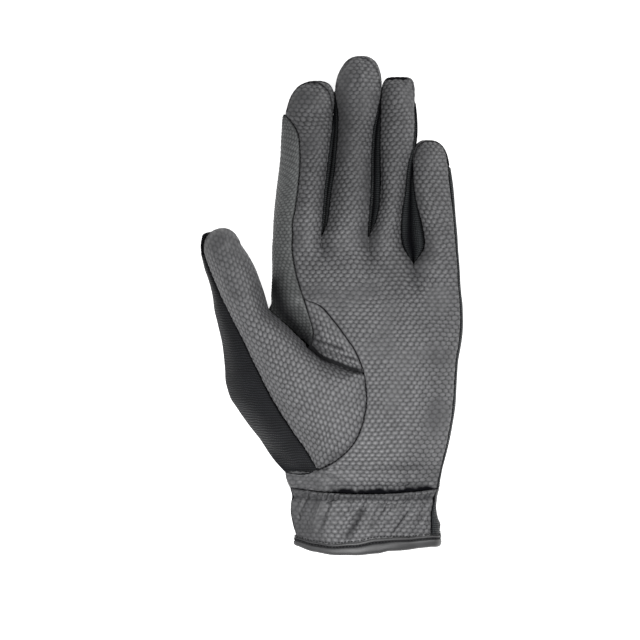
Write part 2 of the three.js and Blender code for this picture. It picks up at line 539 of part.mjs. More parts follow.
function thumbBackPanel() {
  const sheet = new Sheet();
  const rows = THUMB.map((row, k) => {
    const seam = vec(row.xl, row.yl, row.zl);
    const inner = vec(row.bx, row.by, row.bz);
    const straight = smooth((k - 18) / 3);
    const edge = vec(row.sx, row.sy, mix(4.6, 8.7, straight));
    const across = inner.clone().sub(edge).setZ(0).normalize();
    const foot = vec(row.sx, row.sy, 0).addScaledVector(across, Math.min(5, 3 + k * 0.2));
    const swell = seam.clone().lerp(edge, mix(0.72, 0.5, straight));
    swell.z = mix(seam.z, edge.z, mix(0.28, 0.5, straight));
    const slope = steps(3).map((t) => bezier(seam, seam.clone().lerp(swell, 0.67), swell, edge, t));
    const under = [0.5, 1].map((t) => {
      const angle = (t * Math.PI) / 2;
      const p = edge.clone().lerp(foot, 1 - Math.cos(angle));
      p.z = edge.z * (1 - Math.sin(angle));
      return p;
    });
    const side = [...slope, ...under];
    const width = inner.distanceTo(foot);
    const rise = Math.min(6, width * 0.4);
    const floor = [0.5, 1].map((t) => vec(foot.x, foot.y, 0).addScaledVector(across, (width - rise) * t));
    const turn = [0.4, 0.75, 1].map((t) => {
      const angle = (t * Math.PI) / 2;
      const p = floor[1].clone().lerp(vec(inner.x, inner.y, 0), Math.sin(angle));
      p.z = inner.z * (1 - Math.cos(angle));
      return p;
    });
    return [...side, ...floor, ...turn];
  });
  const base = THUMB[0];
  const across = [0, 0.04, 0.09, 0.15, 0.22, 0.3, 0.5, 0.7, 0.84, 0.94, 1];
  const tip = cap(vec(base.xl, base.yl, 0), vec(base.xr, base.yr, 0), THUMB_TIP, 2.1, across, CAP_STEPS,
    (r, u, y) => mix(mix(base.zl, base.zr, u) - 0.6, THUMB_TIP.z - 0.2, y) * Math.max(0, (r - 0.4) / 0.6) ** 1.6);
  sheet.grid(flip([...[...rows].reverse(), ...tip]));
  return sheet;
}

const CUFF_COLUMNS = steps(12);
const cuffFront = (row) => CUFF_COLUMNS.map((u) => {
  const x = mix(row.xl, row.xr, u);
  return vec(x, rowY(row, x), palmZ(row, x));
});
const cuffFloor = (row) => steps(6).map((u) => {
  const x = mix(row.xl + 7, sideFoot(row).x, u);
  return vec(x, rowY(row, x), row.under);
});
const cuffSide = (row, t) => sideStrip(sideFoot(row), row.side, vec(row.xr, row.yr, row.zr), t);
const cuffRows = HAND.slice(0, WRIST_ROW + 1);

function cuffPalmBand() {
  return new Sheet().grid(cuffRows.map(cuffFront));
}

function cuffBackBand() {
  const rows = cuffRows.map((row, i) => [
    ...corner(row),
    ...cuffFloor(row).slice(1),
    ...steps(4).slice(1).map((t) => cuffSide(row, t * (GUSSET_START[i] ?? 1))),
  ]);
  return new Sheet().grid(flip(rows));
}

function cuffGusset() {
  const rows = GUSSET_START.map((start, i) =>
    steps(3).map((t) => cuffSide(HAND[i], mix(start, 1, t))));
  return new Sheet().grid(flip(rows));
}

// Folded strip round the end of the cuff: a channel swept along the hem.
function hemBinding() {
  const ring = (row) => [
    ...cuffFront(row).slice(0, -1),
    ...steps(5).slice(0, -1).map((t) => cuffSide(row, 1 - t)),
    ...cuffFloor(row).reverse().slice(0, -1),
    ...corner(row).reverse().slice(0, -1),
  ];
  const [end, above] = [ring(HAND[0]), ring(HAND[1])];
  const section = table('along out', [
    [-5.0, 0.35], [-4.4, 1.15], [-1.5, 1.45], [1.2, 0.9], [2.0, -0.6],
    [1.2, -2.1], [-1.5, -2.75], [-4.4, -2.5], [-5.0, -1.65], [0.4, -1.65], [0.4, 0.35],
  ]);
  const count = end.length;
  const rows = end.map((point, i) => {
    const along = point.clone().sub(above[i]).normalize();
    const next = end[(i + 1) % count].clone().sub(end[(i + count - 1) % count]);
    const out = along.clone().cross(next).normalize();
    return section.map((s) => point.clone().addScaledVector(along, s.along).addScaledVector(out, s.out));
  });
  const sheet = new Sheet();
  sheet.grid([...rows, rows[0]].map((row) => [...row, row[0]]));
  return sheet;
}

// Panels with their wall thickness; a wall of 0 marks a piece that is closed already.
const PANELS = [
  ['palm_panel', palmPanel(), LEATHER, COLOURS.leather],
  ['back_panel', backPanel(), KNIT, COLOURS.knit],
  ['index_side_panel', indexSidePanel(), LEATHER, COLOURS.leather, 0.3],
  ['index_middle_fourchette', fourchette('index', 'middle'), KNIT, COLOURS.knit, 0.55],
  ['middle_ring_fourchette', fourchette('middle', 'ring'), KNIT, COLOURS.knit, 0.55],
  ['ring_little_fourchette', fourchette('ring', 'little'), KNIT, COLOURS.knit, 0.55],
  ['thumb_front_panel', thumbFrontPanel(), LEATHER, COLOURS.leather],
  ['thumb_back_panel', thumbBackPanel(), KNIT, COLOURS.mesh],
  ['cuff_palm_band', cuffPalmBand(), LEATHER, COLOURS.leather],
  ['cuff_back_band', cuffBackBand(), LEATHER, COLOURS.knit],
  ['cuff_gusset', cuffGusset(), KNIT, COLOURS.knit],
  ['hem_binding', hemBinding(), 0, COLOURS.binding],
].map(([name, sheet, wall, colour, drawn = SEAM / 2]) => ({ name, sheet, wall, colour, drawn }));

// Nearest point on the rim of another panel, with the normal there.
function neighbourNormals(point, own, reach) {
  const found = [];
  PANELS.forEach((panel) => {
    if (panel === own || panel.wall === 0) return;
    let best = reach;
    let normal = null;
    panel.rim.forEach(([a, b]) => {
      const [p, q] = [panel.sheet.points[a], panel.sheet.points[b]];
      const edge = q.clone().sub(p);
      const t = Math.min(1, Math.max(0, point.clone().sub(p).dot(edge) / edge.lengthSq()));
      const gap = p.clone().addScaledVector(edge, t).distanceTo(point);
      if (gap < best) {
        best = gap;
        normal = panel.normals[a].clone().lerp(panel.normals[b], t).normalize();
      }
    });
    if (normal) found.push(normal);
  });
  return found;
}

// Inner face directions: along the normal, mitred with the neighbours at a seam.
function mitres(panel) {
  const onRim = new Set(panel.rim.flat());
  return panel.normals.map((normal, k) => {
    if (!onRim.has(k)) return normal.clone();
    const others = neighbourNormals(panel.sheet.points[k], panel, 1.1);
    const sum = others.reduce((s, n) => s.add(n), normal.clone()).normalize();
    const cosine = Math.max(0.72, sum.dot(normal));
    return sum.multiplyScalar(1 / cosine);
  });
}

// Length of the shortest edge at each point of a sheet.
function shortest(sheet) {
  const found = sheet.points.map(() => Infinity);
  sheet.faces.forEach((f) => f.forEach((a, i) => {
    const b = f[(i + 1) % 3];
    const length = sheet.points[a].distanceTo(sheet.points[b]);
    [a, b].forEach((k) => { found[k] = Math.min(found[k], length); });
  }));
  return found;
}

// Rim points drawn back from the seam line by half the gap, but never past their neighbours.
function inset(panel) {
  const moves = panel.sheet.points.map(() => vec(0, 0, 0));
  panel.rim.forEach(([a, b]) => {
    const edge = panel.sheet.points[b].clone().sub(panel.sheet.points[a]).normalize();
    [a, b].forEach((k) => moves[k].add(panel.normals[k].clone().cross(edge)));
  });
  return panel.sheet.points.map((point, k) => {
    const move = moves[k].length() < 1e-6 ? moves[k] : moves[k].normalize();
    return point.clone().addScaledVector(move, Math.min(panel.drawn * 1.15, panel.short[k] * 0.45));
  });
}

function solid(panel) {
  const outer = inset(panel);
  outer.forEach((point) => point.setZ(Math.max(0, point.z)));
  const inner = outer.map((point, k) => point.clone().addScaledVector(panel.mitre[k], -panel.wall));
  const count = outer.length;
  const faces = panel.sheet.faces.flatMap(([a, b, c]) => [[a, b, c], [a + count, c + count, b + count]]);
  panel.rim.forEach(([a, b]) => faces.push([b, a, a + count], [b, a + count, b + count]));
  return [[...outer, ...inner], faces];
}

PANELS.forEach((panel) => {
  panel.rim = panel.sheet.rim();
  panel.normals = panel.sheet.normals();
  panel.short = shortest(panel.sheet);
});
const glove = new THREE.Group();
glove.name = 'riding_glove';
PANELS.forEach((panel) => {
  panel.mitre = panel.wall > 0 ? mitres(panel) : null;
  const [points, faces] = panel.wall > 0 ? solid(panel) : [panel.sheet.points, panel.sheet.faces];
  const geometry = new THREE.BufferGeometry();
  geometry.setAttribute('position', new THREE.Float32BufferAttribute(points.flatMap((p) => p.toArray()), 3));
  geometry.setIndex(faces.flat());
  geometry.computeVertexNormals();
  const material = new THREE.MeshStandardMaterial({ color: panel.colour, roughness: 0.7 });
  const mesh = new THREE.Mesh(geometry, material);
  mesh.name = panel.name;
  glove.add(mesh);
});

// The origin is under the middle of the glove.
const middle = new THREE.Box3().setFromObject(glove).getCenter(vec(0, 0, 0));
glove.children.forEach((mesh) => mesh.geometry.translate(-middle.x, -middle.y, 0));

export default glove;
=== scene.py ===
"""Left-hand riding glove, lying palm up on a pale floor.

Every panel of the glove is a fine sheet laid over the same cut lines as its solid, with the
embossing, the puckers and the rolled seam edges in the mesh. Sizes in the tables are
millimetres in the solids' frame; meshes are written in metres.
"""

import logging
import math
from collections.abc import Callable, Sequence
from dataclasses import dataclass, field
from enum import Enum

import bpy
import numpy as np
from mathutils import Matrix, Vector
from mathutils.kdtree import KDTree

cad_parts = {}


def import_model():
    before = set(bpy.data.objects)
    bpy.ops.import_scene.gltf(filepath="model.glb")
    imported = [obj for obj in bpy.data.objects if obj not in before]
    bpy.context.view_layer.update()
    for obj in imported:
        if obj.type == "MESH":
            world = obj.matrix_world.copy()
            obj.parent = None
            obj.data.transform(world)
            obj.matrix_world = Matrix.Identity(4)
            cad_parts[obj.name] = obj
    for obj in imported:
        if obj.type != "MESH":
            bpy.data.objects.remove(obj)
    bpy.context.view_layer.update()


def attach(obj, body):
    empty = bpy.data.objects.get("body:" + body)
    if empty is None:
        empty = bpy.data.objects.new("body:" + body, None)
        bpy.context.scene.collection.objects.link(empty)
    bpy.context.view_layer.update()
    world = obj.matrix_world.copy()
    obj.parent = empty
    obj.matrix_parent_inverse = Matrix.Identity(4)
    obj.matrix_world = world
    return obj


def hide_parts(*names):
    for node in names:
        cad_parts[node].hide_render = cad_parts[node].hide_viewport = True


LOG = logging.getLogger("riding_glove")
Array = np.ndarray
Number = float | np.ndarray

MM = 0.001
MIDDLE = np.array([0.3375, 0.4402, 0.0])  # middle of the cut, which is the frame's origin
ROUNDING = 2.3  # exponent of the crowned panels
CROTCH_Z = 9.0  # height of the palm at the finger crotches
BACK_SEAM_Z = 3.4  # height of the back seam along the fingers
REST_BLEND = 16.0  # length over which the finger crowns run out into the palm
FINE = 0.47  # spacing of the embossed sheets
PLAIN = 1.0  # spacing of the knit sheets
CORNER_TURN = 7.0  # width of the turn at the thumb edge of the wrist and cuff
SIDE_TURN = 4.4  # width of the turn at the outer side of the hand
FLAT_SHARE = 0.5  # share of each half of the underside that lies flat
TRAY_STEEPNESS = 1.7  # exponent of the rise from there to the edges
LEAN_IN = np.array([0.3])  # share of an end whose row bends the curves that run into it

# Cross rows of the hand from the hem to the finger roots: the two ends of the palm side, the
# crown, the outline on the little-finger side, the underside, and the bow towards the hem.
XL, YL, ZL, XR, YR, ZR, CROWN, SIDE, UNDER, BOW = range(10)
HAND = np.array([
    [-15.7, -109.6, 9.4, 45.9, -108.6, 12.6, 19.2, 49.5, 1.6, 2.4],
    [-16.5, -104.4, 9.4, 46.0, -103.4, 13.2, 19.3, 50.6, 1.5, 2.2],
    [-17.3, -101.9, 9.0, 46.1, -100.9, 13.6, 19.6, 50.9, 0.7, 1.5],
    [-17.9, -98.9, 8.6, 46.1, -98.0, 13.4, 19.6, 49.7, 0.0, 1.0],
    [-18.6, -94.8, 8.4, 46.5, -93.9, 12.6, 19.2, 48.6, 0.0, 1.0],
    [-18.5, -91.1, 8.3, 47.3, -90.2, 11.8, 19.0, 48.5, 0.0, 1.1],
    [-18.0, -87.5, 8.2, 48.0, -86.8, 11.2, 18.6, 49.0, 0.0, 1.3],
    [-19.0, -84.0, 8.2, 48.8, -84.3, 11.0, 17.8, 49.9, 0.0, 2.1],
    [-20.0, -81.8, 8.2, 49.3, -81.1, 11.0, 19.8, 50.1, 0.0, 1.2],
    [-20.8, -79.0, 8.4, 49.9, -78.3, 11.2, 21.0, 50.6, 0.0, 0.6],
    [-21.0, -76.7, 8.8, 50.5, -75.3, 11.4, 21.8, 51.1, 0.0, 0.0],
    [-4.6, -75.1, 17.6, 51.3, -71.4, 11.7, 22.6, 52.1, 0.0, 0.0],
    [4.1, -69.8, 20.4, 52.6, -66.0, 12.0, 23.4, 53.5, 0.0, 0.0],
    [9.4, -64.6, 22.2, 53.8, -60.0, 12.3, 24.0, 55.0, 0.0, 0.0],
    [13.1, -58.2, 23.4, 55.0, -53.1, 12.6, 24.5, 56.2, 0.0, 0.0],
    [15.3, -50.8, 24.2, 55.9, -45.8, 12.8, 24.8, 57.2, 0.0, 0.0],
    [16.3, -43.5, 24.6, 56.5, -38.9, 13.0, 25.0, 57.6, 0.0, 0.0],
    [15.8, -36.6, 24.6, 56.9, -32.1, 13.0, 25.0, 57.9, 0.0, 0.0],
    [14.7, -30.2, 24.3, 57.4, -25.6, 13.0, 24.8, 58.4, 0.0, 0.0],
    [11.5, -22.0, 23.8, 58.5, -18.3, 12.9, 24.5, 59.8, 0.0, 0.0],
    [6.4, -14.2, 23.0, 59.3, -11.5, 12.8, 24.0, 60.5, 0.0, 0.0],
    [0.9, -6.9, 22.0, 59.4, -5.0, 12.7, 23.4, 60.6, 0.0, 0.0],
    [-4.6, -0.7, 20.8, 59.2, 0.5, 12.5, 22.8, 60.5, 0.0, 0.0],
    [-12.6, 3.2, 19.0, 58.8, 5.5, 12.3, 22.0, 59.8, 0.0, 0.0],
    [-14.4, 8.7, 16.8, 58.4, 10.1, 12.0, 21.0, 59.4, 0.0, 0.0],
    [-16.0, 14.2, 15.2, 58.3, 14.7, 11.7, 20.0, 59.2, 0.0, 0.0],
    [-16.9, 18.8, 14.0, 58.1, 18.8, 11.4, 19.0, 59.0, 0.0, 0.0],
    [-17.6, 22.9, 13.2, 57.7, 22.9, 11.0, 18.1, 58.7, 0.0, 0.0],
    [-17.9, 27.0, 12.6, 57.3, 27.0, 10.6, 17.3, 58.4, 0.0, 0.0],
    [-17.6, 31.6, 12.2, 56.9, 31.6, 10.2, 16.6, 58.2, 0.0, 0.0],
])
WRIST_ROW, CORNER_ROW, THUMB_ROW, FOLD_ROW, SIDE_ROW, LITTLE_ROW, ROOT_ROW = 7, 10, 11, 18, 23, 26, 29

# Finger rows from the root to the start of the tip.
FY, FXL, FXR, FZL, FZR, FCROWN, FBL, FBR = range(8)


@dataclass(frozen=True)
class Finger:
    """Cut of one finger, in millimetres."""

    tip: tuple[float, float, float]
    squareness: float
    rows: Array


FINGERS = {
    "index": Finger((-7.0, 103.4, 6.0), 2.6, np.array([
        [31.6, -17.6, -4.1, 12.2, 9.0, 15.5, -25.6, -4.1],
        [37.1, -17.7, -3.9, 12.0, 9.3, 15.3, -25.4, -3.5],
        [44.9, -16.3, -3.4, 11.8, 9.5, 14.9, -25.0, -2.7],
        [52.7, -15.3, -2.8, 11.7, 9.5, 14.6, -24.2, -1.9],
        [61.8, -14.4, -1.7, 11.6, 9.4, 14.3, -23.2, -0.6],
        [71.0, -14.3, -0.6, 11.4, 9.2, 14.0, -22.2, 0.4],
        [76.5, -14.7, 0.0, 11.0, 9.0, 13.7, -21.8, 0.9],
        [81.1, -16.2, 0.7, 10.2, 8.6, 13.4, -21.4, 1.3],
        [84.7, -18.5, 1.0, 8.8, 8.0, 13.0, -21.3, 1.4],
        [87.9, -21.0, 1.2, 7.2, 7.2, 12.4, -21.1, 1.4],
    ])),
    "middle": Finger((14.0, 115.0, 6.0), 2.35, np.array([
        [31.6, -4.1, 17.9, 9.0, 9.0, 16.5, -4.1, 17.9],
        [37.1, -2.1, 17.5, 9.3, 9.3, 16.2, -2.5, 18.0],
        [44.9, -0.9, 18.0, 9.6, 9.6, 15.8, -1.7, 18.8],
        [52.7, 0.0, 18.5, 9.6, 9.6, 15.4, -1.0, 19.2],
        [61.8, 1.4, 18.8, 9.5, 9.5, 15.0, 0.3, 19.4],
        [71.0, 2.3, 18.9, 9.4, 9.4, 14.6, 1.3, 19.5],
        [80.2, 3.0, 19.6, 9.2, 9.2, 14.2, 2.2, 20.2],
        [89.3, 2.9, 21.6, 8.6, 8.6, 13.7, 2.2, 22.1],
        [98.5, 1.7, 23.3, 7.2, 7.2, 12.8, 1.7, 23.4],
    ])),
    "ring": Finger((31.2, 105.2, 6.0), 4.2, np.array([
        [31.6, 17.9, 32.4, 9.0, 9.3, 15.6, 17.9, 36.2],
        [38.0, 20.4, 32.4, 9.3, 9.6, 15.2, 19.0, 36.0],
        [44.9, 22.1, 33.1, 9.5, 9.7, 14.9, 19.7, 35.9],
        [52.7, 22.6, 34.4, 9.6, 9.7, 14.6, 20.2, 36.1],
        [59.5, 22.7, 35.0, 9.6, 9.6, 14.3, 20.3, 36.3],
        [66.4, 22.6, 36.0, 9.5, 9.5, 14.0, 20.4, 37.3],
        [71.9, 22.6, 37.6, 9.4, 9.3, 13.7, 20.6, 39.0],
        [77.9, 22.6, 38.4, 9.2, 9.1, 13.4, 21.0, 39.9],
        [85.6, 22.7, 38.7, 8.6, 8.5, 13.0, 22.1, 39.9],
        [93.0, 22.8, 38.6, 7.2, 7.2, 12.2, 22.8, 39.2],
    ])),
    "little": Finger((44.7, 76.2, 6.0), 2.7, np.array([
        [18.8, 37.8, 58.1, 9.0, 11.4, 14.6, 37.8, 56.8],
        [22.9, 40.8, 57.7, 9.4, 11.0, 14.3, 37.9, 56.8],
        [27.0, 42.7, 57.3, 9.7, 10.6, 14.0, 37.6, 56.3],
        [31.6, 42.6, 56.9, 9.8, 10.2, 13.8, 37.1, 56.1],
        [36.6, 41.8, 56.6, 9.8, 9.8, 13.5, 36.9, 55.9],
        [43.5, 40.2, 56.0, 9.6, 9.4, 13.2, 36.8, 55.4],
        [50.4, 38.6, 55.2, 9.3, 9.0, 12.8, 37.0, 55.0],
        [57.2, 37.8, 54.4, 8.6, 8.4, 12.3, 37.2, 54.5],
        [63.2, 37.7, 54.0, 7.0, 7.0, 11.6, 37.6, 54.0],
    ])),
}
NAMES = tuple(FINGERS)
# Edge of the ring finger below the root row, down to its crotch with the little finger: place
# along, palm edge, its height, back edge.
RING_ROOT = np.array([[18.8, 37.8, 9.0, 37.8], [22.9, 35.3, 9.2, 37.5], [27.0, 33.2, 9.2, 36.8]])
# Outlines seen from above, row by row from the hand: the outer side of the little finger, that
# of the index finger, and the thumb side of the hand.
LITTLE_SIDE = (59.0, 58.7, 58.4, 58.2, 57.8, 57.3, 56.8, 56.1, 55.1)
INDEX_SIDE = (-26.7, -26.5, -26.0, -25.1, -24.1, -23.2, -22.8, -22.3, -22.0, -21.3)
HAND_SIDE = (-27.5, -27.3, -27.0, -27.0, -27.0, -26.9, -26.3)
# Seam from the side panel down into the fold at the thumb.
FOLD_SEAM = np.array([[-10.4, -5.0, 18.4], [-8.5, -12.4, 16.2]])

# Thumb rows from the tip to the wrist: ends of the front panel, crown, steepness of its right
# flank, outline of the back panel, inner end of the back panel.
TXL, TYL, TZL, TXR, TYR, TZR, TCROWN, TFLANK, TSX, TSY, TBX, TBY, TBZ = range(13)
THUMB = np.array([
    [-58.1, 22.4, 7.0, -41.4, 28.4, 6.6, 15.0, 2.2, -59.9, 23.4, -41.4, 28.4, 6.0],
    [-56.0, 16.5, 8.2, -37.8, 22.9, 6.8, 16.6, 2.2, -58.4, 16.9, -37.8, 22.9, 6.4],
    [-53.4, 10.1, 9.2, -34.4, 16.5, 7.0, 18.0, 2.2, -56.1, 10.5, -34.4, 16.5, 6.9],
    [-50.8, 4.1, 10.4, -32.1, 10.5, 7.0, 19.4, 2.2, -54.7, 4.1, -32.1, 10.5, 6.9],
    [-47.4, -2.3, 11.8, -30.0, 3.7, 7.0, 20.8, 2.2, -53.8, -2.3, -30.0, 3.7, 6.9],
    [-44.0, -9.2, 13.2, -28.4, -1.8, 6.6, 22.2, 2.3, -52.2, -9.2, -28.4, -1.8, 6.5],
    [-40.1, -16.9, 14.6, -23.4, -6.4, 8.4, 23.8, 2.8, -50.4, -16.9, -26.0, -8.2, 0.6],
    [-36.9, -23.8, 15.8, -18.3, -11.0, 10.0, 25.2, 3.4, -49.4, -23.8, -22.9, -15.6, 0.0],
    [-34.1, -29.3, 16.8, -14.2, -15.1, 11.6, 26.4, 4.0, -48.7, -29.8, -20.6, -21.5, 0.0],
    [-31.6, -34.4, 17.6, -9.6, -19.5, 13.2, 27.4, 4.4, -48.4, -35.7, -18.8, -27.0, 0.0],
    [-29.1, -39.4, 18.2, -5.5, -23.1, 15.0, 28.2, 4.4, -47.4, -39.4, -16.9, -32.5, 0.0],
    [-26.8, -43.7, 18.6, -0.9, -26.3, 17.0, 28.7, 4.2, -46.0, -43.1, -15.6, -37.6, 0.0],
    [-24.5, -47.4, 18.8, 4.6, -28.6, 19.2, 29.0, 3.8, -43.5, -46.9, -14.4, -42.1, 0.0],
    [-22.7, -50.6, 19.0, 9.6, -29.8, 21.8, 29.0, 3.2, -41.4, -50.2, -13.5, -46.3, 0.0],
    [-20.8, -53.1, 19.0, 14.7, -30.2, 24.3, 28.9, 2.6, -39.5, -52.9, -12.8, -49.9, 0.0],
    [-18.8, -56.3, 19.0, 15.8, -36.6, 24.6, 28.7, 2.4, -37.1, -56.1, -12.1, -54.0, 0.0],
    [-16.7, -59.5, 18.8, 16.3, -43.5, 24.6, 28.2, 2.3, -34.6, -59.3, -11.7, -57.7, 0.0],
    [-14.7, -62.3, 18.5, 15.3, -50.8, 24.2, 27.4, 2.2, -32.5, -62.1, -11.5, -60.9, 0.0],
    [-12.6, -65.0, 18.2, 13.1, -58.2, 23.4, 26.4, 2.2, -30.7, -64.8, -11.5, -64.1, 0.0],
    [-10.7, -68.0, 17.9, 9.4, -64.6, 22.2, 25.0, 2.2, -28.6, -68.0, -11.9, -67.6, 0.0],
    [-8.8, -71.4, 17.4, 4.1, -69.8, 20.4, 22.0, 2.2, -25.8, -71.9, -12.8, -71.4, 0.0],
    [-6.6, -75.2, 16.5, -4.6, -75.1, 17.6, 17.2, 2.2, -21.8, -76.4, -14.0, -76.7, 0.0],
])
THUMB_TIP = np.array([-52.8, 35.3, 7.0])
THUMB_SQUARENESS = 2.2
THUMB_ROOT, THUMB_FOLD, THUMB_JOIN = 5, 9, 14
# Where the gusset starts on the outer side of each cuff row, from the hem up.
GUSSET_START = (0.3, 0.34, 0.42, 0.54, 0.7, 0.92)

# How far the strip round the hem hangs below its cut line on the palm side: places across, its
# upper edge and its lower edge.
HEM_PLACES = (-17.0, -8.0, 0.0, 10.0, 21.0, 27.0, 38.0, 49.0)
HEM_UPPER = (1.9, 2.9, 3.3, 2.2, 0.4, 0.5, 1.4, 2.2)
HEM_LOWER = (-0.7, 1.2, 1.4, 1.3, 0.6, -0.4, 0.1, 0.7)


def mix(a: Number, b: Number, t: Number) -> Number:
    """Return the value a share t of the way from a to b."""
    return a + (b - a) * t


def smooth(t: Number) -> Number:
    """Return t eased in and out between 0 and 1."""
    s = np.clip(t, 0.0, 1.0)
    return s * s * (3 - 2 * s)


def bell(distance: Number, width: float) -> Number:
    """Return a bump of height 1 that fades over the width."""
    return np.exp(-((distance / width) ** 2))


def stack(x: Number, y: Number, z: Number) -> Array:
    """Return points from three coordinates of any shapes that go together."""
    return np.stack(np.broadcast_arrays(x, y, z), axis=-1).astype(float)


def crowned(u: Number, left: Number, right: Number, crown: Number, steep_left: float = ROUNDING,
            steep_right: float = ROUNDING) -> Array:
    """Return the height across a row, where each half falls from the crown to its edge with its exponent."""
    a = 2 * np.asarray(u) - 1
    return np.where(a < 0, crown + (left - crown) * np.abs(a) ** steep_left,
                    crown + (right - crown) * np.abs(a) ** steep_right)


def tray_rise(away: Number) -> Number:
    """Return the share of its rise that the underside has made at a distance from its middle."""
    return np.maximum(0.0, (away - FLAT_SHARE) / (1 - FLAT_SHARE)) ** TRAY_STEEPNESS


def trayed(u: Number, left: Number, right: Number, floor: Number = 0.0) -> Array:
    """Return the height across the underside: flat in the middle, rising to the edges."""
    a = 2 * np.asarray(u) - 1
    return floor + (np.where(a < 0, left, right) - floor) * tray_rise(np.abs(a))


def bezier(a: Array, b: Array, c: Array, d: Array, t: Array) -> Array:
    """Return points on a cubic from a to d with handles b and c."""
    t, s = np.asarray(t)[:, None], 1 - np.asarray(t)[:, None]
    return a * s**3 + 3 * b * s * s * t + 3 * c * s * t * t + d * t**3


def cell_counts(rows: Array, spacing: float) -> list[int]:
    """Return how many fine steps each interval between rows takes."""
    lengths = np.linalg.norm(np.diff(rows, axis=0), axis=2).max(axis=1)
    return [max(1, int(round(length / spacing))) for length in lengths]


def through(rows: Array, counts: Sequence[int], before: Array | None = None,
            after: Array | None = None) -> Array:
    """Return fine rows on smooth curves through the given rows, column by column.

    Args:
        rows: Points of shape (rows, columns, 3).
        counts: Fine steps in each interval.
        before: A row that comes before the first and only bends the curves.
        after: The same after the last.

    Returns:
        Fine rows; row sum(counts[:i]) is the given row i.
    """
    parts = [rows]
    if before is not None:
        parts.insert(0, before[None])
    if after is not None:
        parts.append(after[None])
    known = np.concatenate(parts)
    step = np.diff(known, axis=0)
    chord = np.maximum(np.linalg.norm(step, axis=2, keepdims=True), 1e-3)
    slope = step / chord
    tangent = np.empty_like(known)
    tangent[0], tangent[-1] = slope[0], slope[-1]
    tangent[1:-1] = (slope[:-1] * chord[1:] + slope[1:] * chord[:-1]) / (chord[:-1] + chord[1:])
    shift = 0 if before is None else 1
    fine = []
    for i, count in enumerate(counts):
        k = i + shift
        t = (np.arange(count) / count)[:, None, None]
        fine.append(
            (2 * t**3 - 3 * t**2 + 1) * known[k]
            + (t**3 - 2 * t**2 + t) * chord[k] * tangent[k]
            + (3 * t**2 - 2 * t**3) * known[k + 1]
            + (t**3 - t**2) * chord[k] * tangent[k + 1]
        )
    fine.append(rows[-1:])
    return np.concatenate(fine)


def stops(counts: Sequence[int]) -> list[int]:
    """Return the fine row numbers of the given rows."""
    return [0, *np.cumsum(counts).tolist()]


def arc_across(points: Array, start: int) -> Array:
    """Return the signed length along each row from one of its columns."""
    total = np.pad(np.cumsum(np.linalg.norm(np.diff(points, axis=1), axis=2), axis=1), ((0, 0), (1, 0)))
    return total - total[:, start:start + 1]


def disc_cap(left: Array, right: Array, tip: Array, squareness: float, across: Array, along: Array,
             height: Callable[[Array, Array, Array], Array]) -> Array:
    """Return the rounded end of a tube as half a disc between two base points.

    Args:
        left: Left base point.
        right: Right base point.
        tip: Point that the end reaches.
        squareness: Exponent of the outline, 2 for an ellipse.
        across: Shares from left to right.
        along: Shares from the base to the tip.
        height: Height from the disc's radius, the share across and the share along.

    Returns:
        Points of shape (along, across, 3).
    """
    w, u = np.meshgrid(along, across, indexing="ij")
    a = 2 * u - 1
    x = a * np.sqrt(1 - w * w / 2)
    y = w * np.sqrt(1 - a * a / 2)
    r = np.minimum(1.0, np.hypot(x, y))
    angle = np.arctan2(y, x)
    corner = np.abs(np.cos(angle)) ** squareness + np.abs(np.sin(angle)) ** squareness
    grow = 1 + (corner ** (-1 / squareness) - 1) * r * r
    centre, half = (left + right) / 2, (right - left) / 2
    plan = centre + half * (x * grow)[..., None] + (tip - centre) * (y * grow)[..., None]
    return stack(plan[..., 0], plan[..., 1], height(r, (x + 1) / 2, y))


def cap_ease(count: int) -> Array:
    """Return shares from base to tip, closer together near the tip."""
    return np.sin(np.linspace(0, math.pi / 2, count + 1)[1:])


def row_y(row: Array, x: Number) -> Number:
    """Return where a hand row lies along the fingers at a place across it."""
    u = (x - row[XL]) / (row[XR] - row[XL])
    return mix(row[YL], row[YR], u) - row[BOW] * np.maximum(0.0, 4 * u * (1 - u))


def palm_z(row: Array, x: Number) -> Array:
    """Return the height of the palm in a hand row."""
    return crowned((x - row[XL]) / (row[XR] - row[XL]), row[ZL], row[ZR], row[CROWN])


def root_row(name: str) -> int:
    """Return the hand row of a finger's lower crotch."""
    return LITTLE_ROW if name == "little" else ROOT_ROW


def back_seam_z(finger: Finger, y: Number) -> Number:
    """Return the height of the back seam along a finger."""
    end = finger.rows[-1]
    return mix(BACK_SEAM_Z, end[FZL] - 1, smooth((y - end[FY] + 16) / 16))


def side_seam_z(y: Number) -> Number:
    """Return the height of the seam between the index finger's back and its outer side."""
    return mix(1.5, back_seam_z(FINGERS["index"], y), smooth((y - 72) / 16))


def strips(i: int, x0: float, x1: float, crotch0: float, crotch1: float,
           back: bool) -> tuple[list[float], list[float]]:
    """Return the left and right ends of the four finger strips in a hand row.

    Args:
        i: Hand row.
        x0: Left end of the row.
        x1: Right end of the row.
        crotch0: Left end of the root row.
        crotch1: Right end of the row of the little finger's crotch.
        back: True for the back of the hand.

    Returns:
        Left ends and right ends.
    """
    lines = []
    for k in (1, 2, 3):
        target = (FINGERS[NAMES[k]].rows[0][FXL] - crotch0) / (crotch1 - crotch0)
        share = smooth((i - FOLD_ROW) / (root_row(NAMES[k]) - FOLD_ROW))
        lines.append(mix(x0, x1, mix(k / 4, target, share)))
    left, right = [x0, *lines], [*lines, x1]
    if i > LITTLE_ROW:
        own = FINGERS["little"].rows[i - LITTLE_ROW]
        ring = FINGERS["ring"].rows[0][[FY, FXR, FZR, FBR]] if i == ROOT_ROW else RING_ROOT[i - LITTLE_ROW]
        left[3] = own[FBL] if back else own[FXL]
        right[2] = ring[3] if back else ring[1]
    return left, right


